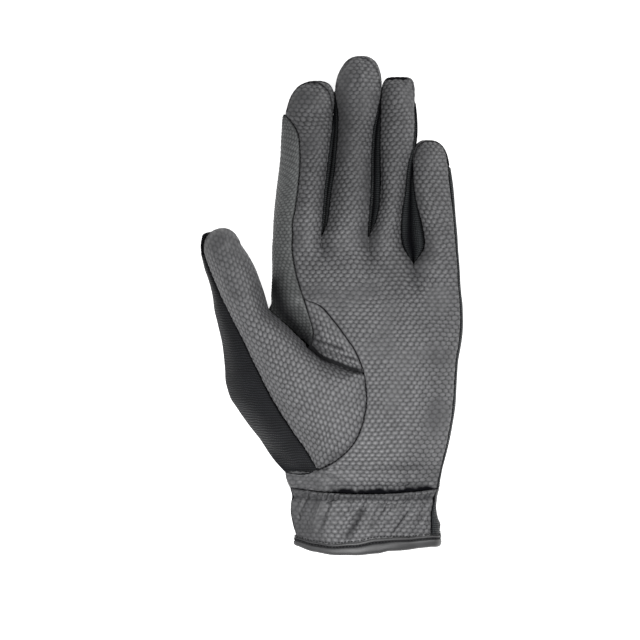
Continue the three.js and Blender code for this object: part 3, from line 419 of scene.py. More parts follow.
def crotch_rows(k: int) -> tuple[int, int]:
    """Return the hand rows of the crotches on the left and right of a finger strip."""
    return (ROOT_ROW if k == 0 else root_row(NAMES[k])), root_row(NAMES[min(3, k + 1)])


def palm_row(i: int, u: Array) -> list[Array]:
    """Return the palm side of a hand row.

    Args:
        i: Hand row.
        u: Shares across each finger strip.

    Returns:
        The points of each of the four finger strips.
    """
    row, split = HAND[i], i > LITTLE_ROW
    left, right = strips(i, row[XL], row[XR], HAND[ROOT_ROW][XL], HAND[LITTLE_ROW][XR], False)
    ring_edge = RING_ROOT[i - LITTLE_ROW][2] if LITTLE_ROW < i < ROOT_ROW else 9.3
    found = []
    for k, name in enumerate(NAMES):
        base = FINGERS[name].rows[max(0, i - LITTLE_ROW) if name == "little" else 0]
        x = mix(left[k], right[k], u)
        y = row_y(row, x)
        depth = [smooth((row_y(HAND[c], x) - y) / REST_BLEND) for c in crotch_rows(k)]
        settled = mix(depth[0], depth[1], smooth(u))
        zl = row[ZL] if k == 0 else base[FZL] if k == 3 and split else CROTCH_Z
        zr = row[ZR] if k == 3 else ring_edge if k == 2 and split else CROTCH_Z
        z = mix(crowned(u, zl, zr, base[FCROWN]), palm_z(row, x), settled)
        found.append(stack(x, y, z))
    return found


def back_left(i: int) -> Array:
    """Return the left end of the underside of a hand row.

    Args:
        i: Hand row.

    Returns:
        The point on the turn at the wrist, on the thumb's seam, or on the thumb side of the hand.
    """
    row = HAND[i]
    if i <= CORNER_ROW:
        x = row[XL] + CORNER_TURN
        return np.array([x, row_y(row, x), row[UNDER]])
    if i >= SIDE_ROW:
        return np.array([HAND_SIDE[i - SIDE_ROW] + 0.7, row[YL], 1.5])
    y = mix(-76.7, 3.2, (i - CORNER_ROW) / (SIDE_ROW - CORNER_ROW))
    line = np.vstack([[-27.2, 1.5, 1.2], THUMB[THUMB_ROOT + 1:, [TBX, TBY, TBZ]]])
    at = int(np.argmax(line[:, 1] < y)) if (line[:, 1] < y).any() else len(line) - 1
    upper, lower = line[max(0, at - 1)], line[at]
    share = 0.0 if at == 0 else (y - lower[1]) / (upper[1] - lower[1])
    return mix(lower, upper, share)


def side_strip(foot: Array, side: float, seam: Array, t: Array) -> Array:
    """Return the strip that turns up round the outer side.

    Args:
        foot: Where it leaves the underside.
        side: How far out the side reaches.
        seam: Where it meets the palm side.
        t: Shares from the foot to the seam.

    Returns:
        Points of the strip.
    """
    out = side + 0.9
    low = np.array([out, mix(foot[1], seam[1], 0.3), foot[2] + 0.4])
    high = np.array([out, mix(foot[1], seam[1], 0.8), seam[2] - 1.2])
    return bezier(foot, low, high, seam, t)


def side_foot(row: Array) -> Array:
    """Return where the side strip of a hand row leaves the underside."""
    x = row[SIDE] - SIDE_TURN
    return np.array([x, row_y(row, x), row[UNDER]])


def back_row(i: int, u: Array) -> list[Array]:
    """Return the underside of a hand row.

    Args:
        i: Hand row.
        u: Shares across each finger strip.

    Returns:
        The points of each of the four finger strips.
    """
    row, start, foot = HAND[i], back_left(i), side_foot(HAND[i])
    left, right = strips(i, start[0], foot[0], back_left(ROOT_ROW)[0], side_foot(HAND[LITTLE_ROW])[0], True)
    found = []
    for k in range(4):
        x = mix(left[k], right[k], u)
        y = mix(start[1], foot[1], (x - start[0]) / (foot[0] - start[0]))
        lift = [BACK_SEAM_Z * (1 - smooth((HAND[c][YL] - y) / 9)) for c in crotch_rows(k)]
        zl = start[2] if k == 0 else lift[0]
        zr = foot[2] if k == 3 else lift[1]
        found.append(stack(x, y, trayed(u, zl, zr, row[UNDER])))
    return found


def hem_corner(row: Array, t: Array) -> Array:
    """Return the turn from the palm side to the underside at the thumb edge of a cuff row."""
    x = row[XL] + CORNER_TURN * (1 - np.cos(t * math.pi / 2))
    return stack(x, row_y(row, x), mix(row[ZL], row[UNDER], np.sin(t * math.pi / 2)))


@dataclass
class Patch:
    """A fine grid of points with its place in the flat cloth.

    Attributes:
        points: Points in millimetres, rows from the hem up and columns left to right as seen
            from outside.
        flat: Place in the flat cloth in millimetres, for the embossing and the weave.
        rows: Rows that the lining keeps.
        columns: Columns that the lining keeps.
    """

    points: Array
    flat: Array
    rows: list[int]
    columns: list[int]

    def flipped(self) -> "Patch":
        """Return the same patch with its columns the other way round."""
        last = self.points.shape[1] - 1
        columns = [last - c for c in self.columns][::-1]
        return Patch(self.points[:, ::-1], self.flat[:, ::-1], self.rows, columns)


def plan_flat(points: Array, middle: int | None = None) -> Array:
    """Return flat places that keep the rows level and measure along the cloth across."""
    centre = points.shape[1] // 2 if middle is None else middle
    return np.stack([points[:, centre:centre + 1, 0] + arc_across(points, centre), points[..., 1]], axis=-1)


def smooth_noise(points: Array, size: float, seed: int) -> Array:
    """Return gentle noise between about -1 and 1 at points, made of fixed waves.

    Args:
        points: Points or flat places, in millimetres.
        size: Typical length of a wave in millimetres.
        seed: Chooses the waves.

    Returns:
        One value for each point.
    """
    draw = np.random.default_rng(seed)
    total = np.zeros(points.shape[:-1])
    for _ in range(7):
        turn = draw.normal(size=points.shape[-1])
        turn *= 2 * math.pi / (size * draw.uniform(0.7, 1.6)) / np.linalg.norm(turn)
        total += np.sin(points @ turn + draw.uniform(0, 2 * math.pi))
    return total / 3.0


def share_edge(first: Patch, second: Patch, columns: tuple[int, int], until: int) -> None:
    """Let two patches meet halfway along one column of each, up to a row."""
    one, other = first.points[:until, columns[0]], second.points[:until, columns[1]]
    one[:] = other[:] = (one + other) / 2


def palm_patches() -> list[Patch]:
    """Return the palm side of the hand with the four finger fronts."""
    u = np.linspace(0, 1, 41)
    rows = [palm_row(i, u) for i in range(ROOT_ROW + 1)]
    patches = []
    counts = cell_counts(np.stack([np.concatenate(r) for r in rows[WRIST_ROW:]]), FINE)
    for k, name in enumerate(NAMES):
        finger = FINGERS[name]
        hand = [rows[i][k] for i in range(WRIST_ROW, root_row(name) + 1)]
        tube = [stack(mix(r[FXL], r[FXR], u), r[FY], crowned(u, r[FZL], r[FZR], r[FCROWN]))
                for r in finger.rows[1:]]
        known = np.stack([*hand, *tube])
        end, tip = finger.rows[-1], np.array(finger.tip)

        def height(r: Array, across: Array, y: Array, end: Array = end, tip: Array = tip) -> Array:
            """Return the height over the finger's end."""
            edge = mix(mix(end[FZL], end[FZR], across), tip[2], y)
            return end[FCROWN] + (edge - end[FCROWN]) * r**ROUNDING

        left, right = np.array([end[FXL], end[FY], 0.0]), np.array([end[FXR], end[FY], 0.0])
        along = cap_ease(int((tip[1] - end[FY]) / 0.42))
        cap = disc_cap(left, right, tip, finger.squareness, u, along, height)
        steps = counts[:len(hand) - 1] + cell_counts(known[len(hand) - 1:], FINE)
        lean = disc_cap(left, right, tip, finger.squareness, u, LEAN_IN, height)[0]
        fine = through(known, steps, after=lean)
        if k == 0:
            corner = CORNER_ROW - WRIST_ROW
            first, last = stops(steps)[corner], stops(steps)[corner + 1]
            share = np.linspace(0, 1, last - first + 1)[:, None, None]
            fine[first:last + 1] = mix(known[corner], known[corner + 1], share)
        flat = plan_flat(fine)
        flat[..., 0] = mix(fine[..., 0], flat[..., 0], smooth((fine[..., 1] - 18) / 24))
        root = stops(steps)[len(hand) - 1]
        flat[root:, :, 0] += flat[root, 20, 0] - flat[root:, 20:21, 0]
        reach = np.maximum(np.abs(fine[-1, :, 0] - fine[-1, 20, 0]), 1e-6)
        scale = np.abs(flat[-1, :, 0] - flat[-1, 20, 0]) / reach
        scale[20] = scale[19]
        centre = np.array([(end[FXL] + end[FXR]) / 2, end[FY]])
        offset = cap[..., :2] - centre
        radius = np.clip(np.hypot(offset[..., 0] / (end[FXR] - end[FXL]) * 2,
                                  offset[..., 1] / (tip[1] - end[FY])), 0, 1)
        stretch = np.interp(radius, 2 * u[20:] - 1, scale[20:])
        cap_flat = np.stack([flat[-1, 20, 0] + offset[..., 0] * stretch,
                             end[FY] + offset[..., 1] * stretch], -1)
        kept = (stops(steps) + [len(fine) - 1 + c for c in range(4, len(along), 4)]
                + [len(fine) + len(along) - 1])
        patches.append(Patch(np.concatenate([fine, cap]), np.concatenate([flat, cap_flat]),
                             sorted(set(kept)), list(range(0, 41, 8))))
    for k in range(3):
        joined = sum(counts[:(LITTLE_ROW if k == 2 else ROOT_ROW) - WRIST_ROW]) + 1
        share_edge(patches[k], patches[k + 1], (-1, 0), joined)
    return patches


def back_patches() -> list[Patch]:
    """Return the back of the hand with the finger backs and the turn round the outer side."""
    u = np.linspace(0, 1, 17)
    t = np.linspace(0, 1, 17)
    rows = [back_row(i, u) for i in range(ROOT_ROW + 1)]
    counts = cell_counts(np.stack([np.concatenate(r) for r in rows[WRIST_ROW:]]), PLAIN)
    joined, patches = stops(counts), []
    for k, name in enumerate(NAMES):
        finger = FINGERS[name]
        hand = np.stack([rows[i][k] for i in range(WRIST_ROW, root_row(name) + 1)])
        steps = counts[:len(hand) - 1]
        fine = through(hand, steps)
        patches.append(Patch(fine, plan_flat(fine), stops(steps), [0, 4, 8, 12, 16]).flipped())
        outer = name == "little"
        tube = []
        for i, r in enumerate(finger.rows):
            z = back_seam_z(finger, r[FY])
            zl = side_seam_z(r[FY]) if name == "index" else z
            foot = np.array([r[FBR], r[FY], z])
            if outer:
                foot = np.array([LITTLE_SIDE[i] - SIDE_TURN, r[FY], 0.0])
            floor = stack(mix(r[FBL], foot[0], u), r[FY], trayed(u, zl, foot[2]))
            if i == 0:
                floor = rows[root_row(name)][k]
                foot = floor[-1]
            if outer:
                drop = 1.0 if i == len(finger.rows) - 1 else 0.0
                side = HAND[LITTLE_ROW][SIDE] if i == 0 else LITTLE_SIDE[i]
                strip = side_strip(foot, side, np.array([r[FXR], r[FY], r[FZR] - drop]), t[1:])
                floor = np.concatenate([floor, strip])
            tube.append(floor)
        known = np.stack(tube)
        end, tip = finger.rows[-1], np.array(finger.tip)
        seam = back_seam_z(finger, end[FY])
        share = np.concatenate([u * 0.72, mix(0.72, 1.0, t[1:])]) if outer else u

        def height(r: Array, across: Array, y: Array, seam: float = seam, tip: Array = tip) -> Array:
            """Return the height under the finger's end."""
            return mix(seam, tip[2], y) * tray_rise(r)

        left = np.array([end[FXL], end[FY], 0.0])
        right = np.array([end[FXR] + (1.1 if outer else 0.0), end[FY], 0.0])
        along = cap_ease(12)
        cap = disc_cap(left, right, tip, finger.squareness, share, along, height)
        steps = cell_counts(known, PLAIN)
        fine = through(known, steps)
        points = np.concatenate([fine, cap])
        kept = stops(steps) + [len(fine) - 1 + c for c in (3, 6, 9, 12)]
        columns = list(range(0, points.shape[1], 4))
        patches.append(Patch(points, plan_flat(points, 8), kept, columns).flipped())
    strip = np.stack([side_strip(rows[i][3][-1], HAND[i][SIDE], HAND[i][[XR, YR, ZR]], t)
                      for i in range(WRIST_ROW, LITTLE_ROW + 1)])
    steps = counts[:LITTLE_ROW - WRIST_ROW]
    fine = through(strip, steps)
    fine[:, 0] = patches[6].points[:len(fine), 0]
    patches.append(Patch(fine, plan_flat(fine, 0), stops(steps), [0, 4, 8, 12, 16]).flipped())
    turn = np.stack([hem_corner(HAND[i], t) for i in range(WRIST_ROW, CORNER_ROW + 1)])
    steps = counts[:CORNER_ROW - WRIST_ROW]
    fine = through(turn, steps)
    fine[:, -1] = patches[0].points[:len(fine), -1]
    patches.append(Patch(fine, plan_flat(fine, 16), stops(steps), [0, 4, 8, 12, 16]).flipped())
    for low, high in ((0, 2), (2, 4), (4, 6)):
        until = joined[(LITTLE_ROW if low == 4 else ROOT_ROW) - WRIST_ROW] + 1
        share_edge(patches[low], patches[high], (0, -1), until)
    return patches


def index_side_patch() -> Patch:
    """Return the outer side of the index finger and hand, down into the fold at the thumb."""
    finger, t = FINGERS["index"], np.linspace(0, 1, 51)
    rows = []
    for i in range(len(finger.rows) - 1, -1, -1):
        r = finger.rows[i]
        rows.append((r[[FXL, FY, FZL]], np.array([r[FBL], r[FY], side_seam_z(r[FY])]), INDEX_SIDE[i]))
    for i in range(ROOT_ROW - 1, SIDE_ROW - 1, -1):
        rows.append((HAND[i][[XL, YL, ZL]], back_left(i), HAND_SIDE[i - SIDE_ROW]))
    points = []
    for front, back, side in rows:
        high = np.array([mix(side, front[0], 0.3), mix(front[1], back[1], 0.4), front[2] - 0.9])
        low = np.array([side - 2, back[1], mix(back[2], front[2], 0.22)])
        points.append(bezier(front, high, low, back, t))
    tucks = ((THUMB_ROOT, -0.6, -1.4), (7, -0.3, -1.2), (8, 0.2, -0.6))
    ends = [THUMB[k][[TXR, TYR, TZR]] + np.array([tuck, tuck, drop]) for k, tuck, drop in tucks]
    fronts = [*FOLD_SEAM, THUMB[THUMB_FOLD][[TXR, TYR, TZR]]]
    for i, (front, end) in enumerate(zip(fronts, ends)):
        line = mix(front, end, t[:, None])
        line[:, 2] -= np.sin(math.pi * t) * 0.8 * (1 - i / 2)
        points.append(line)
    known = np.stack(points)
    steps = cell_counts(known[:, ::5], FINE)
    fine = through(known, steps)
    flat = plan_flat(fine, 0)
    flat[..., 1] += (flat[..., 0] - flat[:, :1, 0]) * 0.9 * smooth((fine[:, :1, 1] - 40) / 30)
    return Patch(fine, flat * 1.3, stops(steps), list(range(0, 51, 10)))


def tip_sides(finger: Finger, sign: int, limit: float) -> list[tuple[float, float, float, float, float, int]]:
    """Return the rows by which a band runs out beside the finger's end.

    Args:
        finger: The finger.
        sign: 1 for its right side, -1 for its left.
        limit: How far up the band may reach.

    Returns:
        Rows in the form that band_patch uses.
    """
    end, tip = finger.rows[-1], np.array(finger.tip)
    left, right = np.array([end[FXL], end[FY], end[FZL]]), np.array([end[FXR], end[FY], end[FZR]])
    rows = []
    for w in (0.2, 0.38):
        place = disc_cap(left, right, tip, finger.squareness, np.array([(1 + sign) / 2]), np.array([w]),
                         lambda r, across, y: mix(mix(left[2], right[2], across), tip[2], y))[0, 0]
        x = place[0] - sign * 0.5
        if place[1] < limit:
            rows.append((x, place[2] + 0.2, x, place[1], place[2] - 1.8, sign))
    return rows


def band_patch(first: str, second: str) -> Patch:
    """Return the band between two fingers.

    Args:
        first: Finger down whose right side it comes.
        second: Finger up whose left side it goes.

    Returns:
        The band, seen from outside the fingers.
    """
    one, two, t = FINGERS[first], FINGERS[second], np.linspace(0, 1, 13)
    crotch = two.rows[0][FY]
    walls = (one.rows[:, [FY, FBR]], two.rows[:, [FY, FBL]])
    if second == "little":
        walls = (np.vstack([RING_ROOT[:, [0, 3]], walls[0]]), walls[1])
    sides = [(r[FXR], r[FZR], r[FBR], r[FY], back_seam_z(one, r[FY]), 1) for r in one.rows[::-1]]
    limit = {"middle": 98.0, "ring": 102.0, "little": 72.0}[second]
    sides = tip_sides(one, 1, limit)[::-1] + sides
    if second == "little":
        sides += [(r[1], r[2], r[3], r[0], BACK_SEAM_Z, 1) for r in RING_ROOT[::-1]]
    sides += [(r[FXL], r[FZL], r[FBL], r[FY], back_seam_z(two, r[FY]), -1) for r in two.rows[1:]]
    sides += tip_sides(two, -1, limit)
    rows = []
    for x, z, back_x, y, back_z, sign in sides:
        meeting = np.mean([np.interp(y, wall[:, 0], wall[:, 1]) for wall in walls]) + sign * 0.22
        bulge = np.clip(sign * ((meeting - 0.125 * (x + back_x)) / 0.75 - back_x), 0, 3.2)
        lean = sign * bulge * smooth((y - crotch) / 1.6)
        middle = np.array([back_x + lean, y, mix(z, back_z, 0.45)])
        rows.append(bezier(np.array([x, y, z]), middle, middle, np.array([back_x, y, back_z]), t))
    known = np.stack(rows)
    steps = cell_counts(known, PLAIN)
    fine = through(known, steps)
    length = np.concatenate([[0], np.cumsum(np.linalg.norm(np.diff(fine[:, 6], axis=0), axis=1))])
    flat = np.stack([arc_across(fine, 0), np.broadcast_to(length[:, None], fine.shape[:2])], -1)
    return Patch(fine, flat, stops(steps), [0, 4, 8, 12]).flipped()


def thumb_flat(points: Array) -> Array:
    """Return flat places that follow the thumb, whose leather is cut at a slant.

    Args:
        points: Points of the thumb's front, row by row.

    Returns:
        The flat place of each point.
    """
    turn = math.radians(106)
    axis = np.array([math.cos(turn), math.sin(turn)])
    centre = points.shape[1] // 2
    away = points[..., :2] - points[:, centre:centre + 1, :2]
    plan = np.maximum(np.hypot(away[..., 0], away[..., 1]), 1e-6)
    away *= (np.abs(arc_across(points, centre)) / plan)[..., None]
    spread = points[:, centre:centre + 1, :2] + away
    return np.stack([spread @ axis, spread @ np.array([axis[1], -axis[0]])], axis=-1)


def thumb_front_patches() -> list[Patch]:
    """Return the front of the thumb with the ball of the hand, and the web above the fold."""
    share = np.linspace(0, 1, 97)
    u = share + 0.12 * np.sin(2 * math.pi * share) / (2 * math.pi)
    mound = np.stack([
        stack(mix(r[TXL], r[TXR], u), mix(r[TYL], r[TYR], u),
              crowned(u, r[TZL], r[TZR], r[TCROWN], ROUNDING, r[TFLANK])) for r in THUMB
    ])[::-1]
    base = THUMB[0]

    def height(r: Array, across: Array, y: Array) -> Array:
        """Return the height over the thumb's end."""
        edge = mix(mix(base[TZL], base[TZR], across), THUMB_TIP[2], y)
        return base[TCROWN] + (edge - base[TCROWN]) * r**ROUNDING

    left, right = np.array([base[TXL], base[TYL], 0.0]), np.array([base[TXR], base[TYR], 0.0])
    along = cap_ease(24)
    cap = disc_cap(left, right, THUMB_TIP, THUMB_SQUARENESS, u, along, height)
    steps = cell_counts(mound, FINE * 1.1)
    leaning = disc_cap(left, right, THUMB_TIP, THUMB_SQUARENESS, u, LEAN_IN, height)[0]
    fine = through(mound, steps, after=leaning)
    points = np.concatenate([fine, cap])
    kept = stops(steps) + [len(fine) - 1 + c for c in (6, 12, 18, 24)]
    front = Patch(points, thumb_flat(points), kept, list(range(0, 97, 12)))

    t = np.linspace(0, 1, 49)
    web = []
    for k in range(THUMB_JOIN, THUMB_FOLD - 1, -1):
        foot, top = THUMB[k][[TXR, TYR, TZR]], HAND[SIDE_ROW - (k - THUMB_FOLD)][[XL, YL, ZL]]
        if k == THUMB_FOLD:
            four = np.stack([top, *FOLD_SEAM, foot])[:, None]
            web.append(through(four, [16, 16, 16])[:, 0])
            continue
        line = mix(top, foot, t[:, None])
        line[:, 2] += np.sin(math.pi * t) * 0.12 * np.linalg.norm(top - foot) * (1 - t * 0.4)
        web.append(line)
    last = len(THUMB) - 1
    own = steps[last - THUMB_JOIN:last - THUMB_FOLD]
    sheet = through(np.stack(web), own)
    start = stops(steps)[last - THUMB_JOIN]
    foot = points[start:start + len(sheet), -1]
    sheet += (foot - sheet[:, -1])[:, None] * t[None, :, None]
    above = Patch(sheet, thumb_flat(sheet), stops(own), [0, 16, 32, 48]).flipped()
    return [front, above]


def thumb_back_patch() -> Patch:
    """Return the back of the thumb, from its front seam round the outline to the underside."""
    t = np.linspace(0, 1, 37)
    quarter = np.linspace(0, 1, 9)[1:]
    half = np.linspace(0, 1, 7)[1:]
    rows = []
    for k, r in enumerate(THUMB):
        seam, inner = r[[TXL, TYL, TZL]], r[[TBX, TBY, TBZ]]
        straight = smooth((k - 18) / 3)
        edge = np.array([r[TSX], r[TSY], mix(4.6, 8.7, straight)])
        across = (inner - edge) * [1, 1, 0]
        across /= np.linalg.norm(across)
        foot = np.array([r[TSX], r[TSY], 0.0]) + across * min(5, 3 + k * 0.2)
        swell = mix(seam, edge, mix(0.72, 0.5, straight))
        swell[2] = mix(seam[2], edge[2], mix(0.28, 0.5, straight))
        slope = bezier(seam, mix(seam, swell, 0.67), swell, edge, t)
        angle = quarter * math.pi / 2
        under = mix(edge, foot, (1 - np.cos(angle))[:, None])
        under[:, 2] = edge[2] * (1 - np.sin(angle))
        width = np.linalg.norm(inner - foot)
        floor = np.array([foot[0], foot[1], 0.0]) + across * (width - min(6, width * 0.4)) * half[:, None]
        turn = half * math.pi / 2
        flat_inner = np.array([inner[0], inner[1], 0.0])
        end = mix(floor[-1], flat_inner, np.sin(turn)[:, None])
        end[:, 2] = inner[2] * (1 - np.cos(turn))
        rows.append(np.concatenate([slope, under, floor, end]))
    known = np.stack(rows)[::-1]
    hang = np.concatenate([np.sin(math.pi * t) ** 0.7, np.zeros(known.shape[1] - len(t))])
    low = known[0] + np.stack([0.3 * hang, -1.7 * hang, 2.4 * hang], axis=1)
    known = np.concatenate([low[None], known])
    base = THUMB[0]
    anchors = (0, 0.15, 0.3, 0.7, 1)
    share = np.interp(np.arange(known.shape[1]), (0, 36, 44, 50, 56), anchors)

    def height(r: Array, across: Array, y: Array) -> Array:
        """Return the height under the thumb's end."""
        edge = mix(mix(base[TZL], base[TZR], across) - 0.6, THUMB_TIP[2] - 0.2, y)
        return edge * np.maximum(0.0, (r - 0.4) / 0.6) ** 1.6

    left, right = np.array([base[TXL], base[TYL], 0.0]), np.array([base[TXR], base[TYR], 0.0])
    along = np.concatenate([[0.0], cap_ease(14)])
    cap = disc_cap(left, right, THUMB_TIP, THUMB_SQUARENESS, share, along, height)
    beside = smooth((0.34 - share) / 0.34)
    cap[..., 0] -= 1.4 * beside
    cap[..., 1] += 1.5 * beside * along[:, None] ** 2
    fade = (1 - smooth(along / 0.6))[:, None] * smooth((np.arange(known.shape[1]) - 10) / 26)
    cap = (cap + (known[-1] - cap[0]) * fade[..., None])[1:]
    steps = cell_counts(known, 0.6)
    fine = through(known, steps)
    points = np.concatenate([fine, cap])
    flat = np.stack([arc_across(points, 0), points[..., 1]], axis=-1)
    kept = stops(steps) + [len(fine) - 1 + c for c in (4, 8, 11, 14)]
    columns = [0, 12, 24, 36, 40, 44, 47, 50, 53, 56]
    return Patch(points, flat, kept, columns).flipped()


def cuff_front(row: Array, u: Array) -> Array:
    """Return the palm side of a cuff row."""
    x = mix(row[XL], row[XR], u)
    return stack(x, row_y(row, x), palm_z(row, x))


def cuff_floor(row: Array, u: Array) -> Array:
    """Return the underside of a cuff row."""
    x = mix(row[XL] + CORNER_TURN, side_foot(row)[0], u)
    return stack(x, row_y(row, x), row[UNDER])


def cuff_side(row: Array, t: Array) -> Array:
    """Return the outer side of a cuff row."""
    return side_strip(side_foot(row), row[SIDE], row[[XR, YR, ZR]], t)


def cuff_palm_patch() -> Patch:
    """Return the gathered band on the palm side of the cuff."""
    u = np.linspace(0, 1, 145)
    known = np.stack([cuff_front(row, u) for row in HAND[:WRIST_ROW + 1]])
    steps = cell_counts(known, 0.42)
    fine = through(known, steps)
    return Patch(fine, plan_flat(fine), stops(steps), list(range(0, 145, 12)))


def cuff_back_patch() -> Patch:
    """Return the back of the cuff, from the thumb edge to the gusset."""
    t = np.linspace(0, 1, 17)
    rows = []
    for i, row in enumerate(HAND[:WRIST_ROW + 1]):
        start = GUSSET_START[i] if i < len(GUSSET_START) else 1.0
        parts = [hem_corner(row, t), cuff_floor(row, np.linspace(0, 1, 41))[1:],
                 cuff_side(row, t[1:] * start)]
        rows.append(np.concatenate(parts))
    known = np.stack(rows)
    steps = cell_counts(known, PLAIN)
    fine = through(known, steps)
    return Patch(fine, plan_flat(fine), stops(steps), list(range(0, 73, 4))).flipped()


def gusset_patch() -> Patch:
    """Return the triangular insert at the little-finger side of the cuff."""
    t = np.linspace(0, 1, 13)
    known = np.stack([cuff_side(HAND[i], mix(start, 1.0, t)) for i, start in enumerate(GUSSET_START)])
    steps = cell_counts(known, 0.5)
    fine = through(known, steps)
    return Patch(fine, plan_flat(fine, 12), stops(steps), [0, 4, 8, 12]).flipped()


# Section of the folded strip round the hem: distance beyond the cut line, distance outwards.
BINDING_SECTION = np.array([
    [-5.0, 0.3], [-5.1, 0.85], [-4.7, 1.2], [-4.1, 1.25], [-3.6, 1.05], [-3.3, 0.72], [-3.0, 0.8], [-2.6, 1.35],
    [-1.9, 1.62], [-0.6, 1.7], [0.6, 1.45], [1.4, 0.85], [1.8, -0.1], [1.9, -0.9], [1.6, -1.7], [0.8, -2.3],
    [-0.6, -2.6], [-2.2, -2.7], [-4.4, -2.5], [-5.0, -1.8], [-4.6, -1.55], [-2.0, -1.6], [0.2, -1.5],
    [0.5, -0.6], [0.2, 0.3], [-2.0, 0.35],
])


def hem_frame() -> tuple[Array, Array, Array]:
    """Return the points round the hem, the way onwards from the cuff there, and the way out."""
    def ring(row: Array) -> Array:
        """Return the points round the cuff in a row."""
        return np.concatenate([
            cuff_front(row, np.linspace(0, 1, 73))[:-1],
            cuff_side(row, 1 - np.linspace(0, 1, 21))[:-1],
            cuff_floor(row, 1 - np.linspace(0, 1, 41))[:-1],
            hem_corner(row, 1 - np.linspace(0, 1, 17))[:-1],
        ])
    end, above = ring(HAND[0]), ring(HAND[1])
    along = end - above
    along /= np.linalg.norm(along, axis=1, keepdims=True)
    onward = np.roll(end, -2, axis=0) - np.roll(end, 2, axis=0)
    out = np.cross(along, onward)
    return end, along, out / np.linalg.norm(out, axis=1, keepdims=True)


def hem_hang(place: Array, along: Array) -> Array:
    """Return how far the strip round the hem hangs below its cut line.

    Args:
        place: Points on the hem.
        along: Distance from the cut line, towards the hem's end.

    Returns:
        The extra distance, which is none on the underside.
    """
    count = np.arange(len(HEM_PLACES))
    at = np.interp(place[..., 0], HEM_PLACES, count)
    at = np.floor(at) + smooth(at - np.floor(at))
    upper, lower = np.interp(at, count, HEM_UPPER), np.interp(at, count, HEM_LOWER)
    return mix(upper, lower, (along + 5.1) / 7) * smooth((place[..., 2] - 2) / 6)


def hem_line(along: float, out: float) -> Array:
    """Return a closed line round the hem.

    Args:
        along: How far beyond the cut line it lies.
        out: How far out it stands.

    Returns:
        Its points, the first again at the end.
    """
    end, onwards, outwards = hem_frame()
    line = end + onwards * (along + hem_hang(end, along))[:, None] + outwards * out
    return np.concatenate([line, line[:1]])


def binding_patch() -> Patch:
    """Return the folded strip round the end of the cuff: a channel swept along the hem."""
    end, along, out = hem_frame()
    closed = np.concatenate([BINDING_SECTION, BINDING_SECTION[:1]])[:, None, :]
    closed = np.concatenate([closed, np.zeros_like(closed[..., :1])], axis=2)
    fine = through(closed, [3] * len(BINDING_SECTION), before=closed[-2], after=closed[1])[:, 0, :2]
    reach = fine[None, :, 0] + hem_hang(end[:, None], fine[None, :, 0])
    rows = end[:, None] + along[:, None] * reach[..., None] + out[:, None] * fine[None, :, 1:]
    rows = np.concatenate([rows, rows[:1]])
    closed = np.concatenate([end, end[:1]])
    length = np.concatenate([[0], np.cumsum(np.linalg.norm(np.diff(closed, axis=0), axis=1))])
    flat = np.stack([np.broadcast_to(length[:, None], rows.shape[:2]), arc_across(rows, 0)], -1)
    return Patch(rows, flat, [0], [0])


@dataclass
class Cloth:
    """Fine mesh of one panel in millimetres.

    Attributes:
        points: Welded points.
        normals: Outward normals.
        corners: Point numbers of each face's corners, -1 where a face has three.
        flat: Flat place of each corner.
        edge: Distance of each point from the panel's rim.
        place: Flat place of each point.
        lining: Faces of the lining, as point numbers.
        kept: Points that the lining keeps.
        height: How far each point stands off the cut.
    """

    points: Array
    normals: Array
    corners: Array
    flat: Array
    edge: Array
    place: Array
    lining: list[tuple[int, ...]] = field(default_factory=list)
    kept: Array = field(default_factory=lambda: np.zeros(0, int))
    height: Array = field(default_factory=lambda: np.zeros(0))


def face_normals(points: Array, corners: Array) -> Array:
    """Return the point normals of a mesh of triangles and quads.

    Args:
        points: Points of the mesh.
        corners: Point numbers of each face, the last -1 in a triangle.

    Returns:
        One outward unit vector for each point.
    """
    last = np.where(corners[:, 3] < 0, corners[:, 2], corners[:, 3])
    one = points[corners[:, 2]] - points[corners[:, 0]]
    two = points[last] - points[corners[:, 1]]
    flat_faces = corners[:, 3] < 0
    two[flat_faces] = points[corners[flat_faces, 2]] - points[corners[flat_faces, 1]]
    one[flat_faces] = points[corners[flat_faces, 1]] - points[corners[flat_faces, 0]]
    normal = np.cross(one, two)
    total = np.zeros_like(points)
    for k in range(4):
        used = corners[:, k] >= 0
        np.add.at(total, corners[used, k], normal[used])
    return total / np.maximum(np.linalg.norm(total, axis=1, keepdims=True), 1e-12)


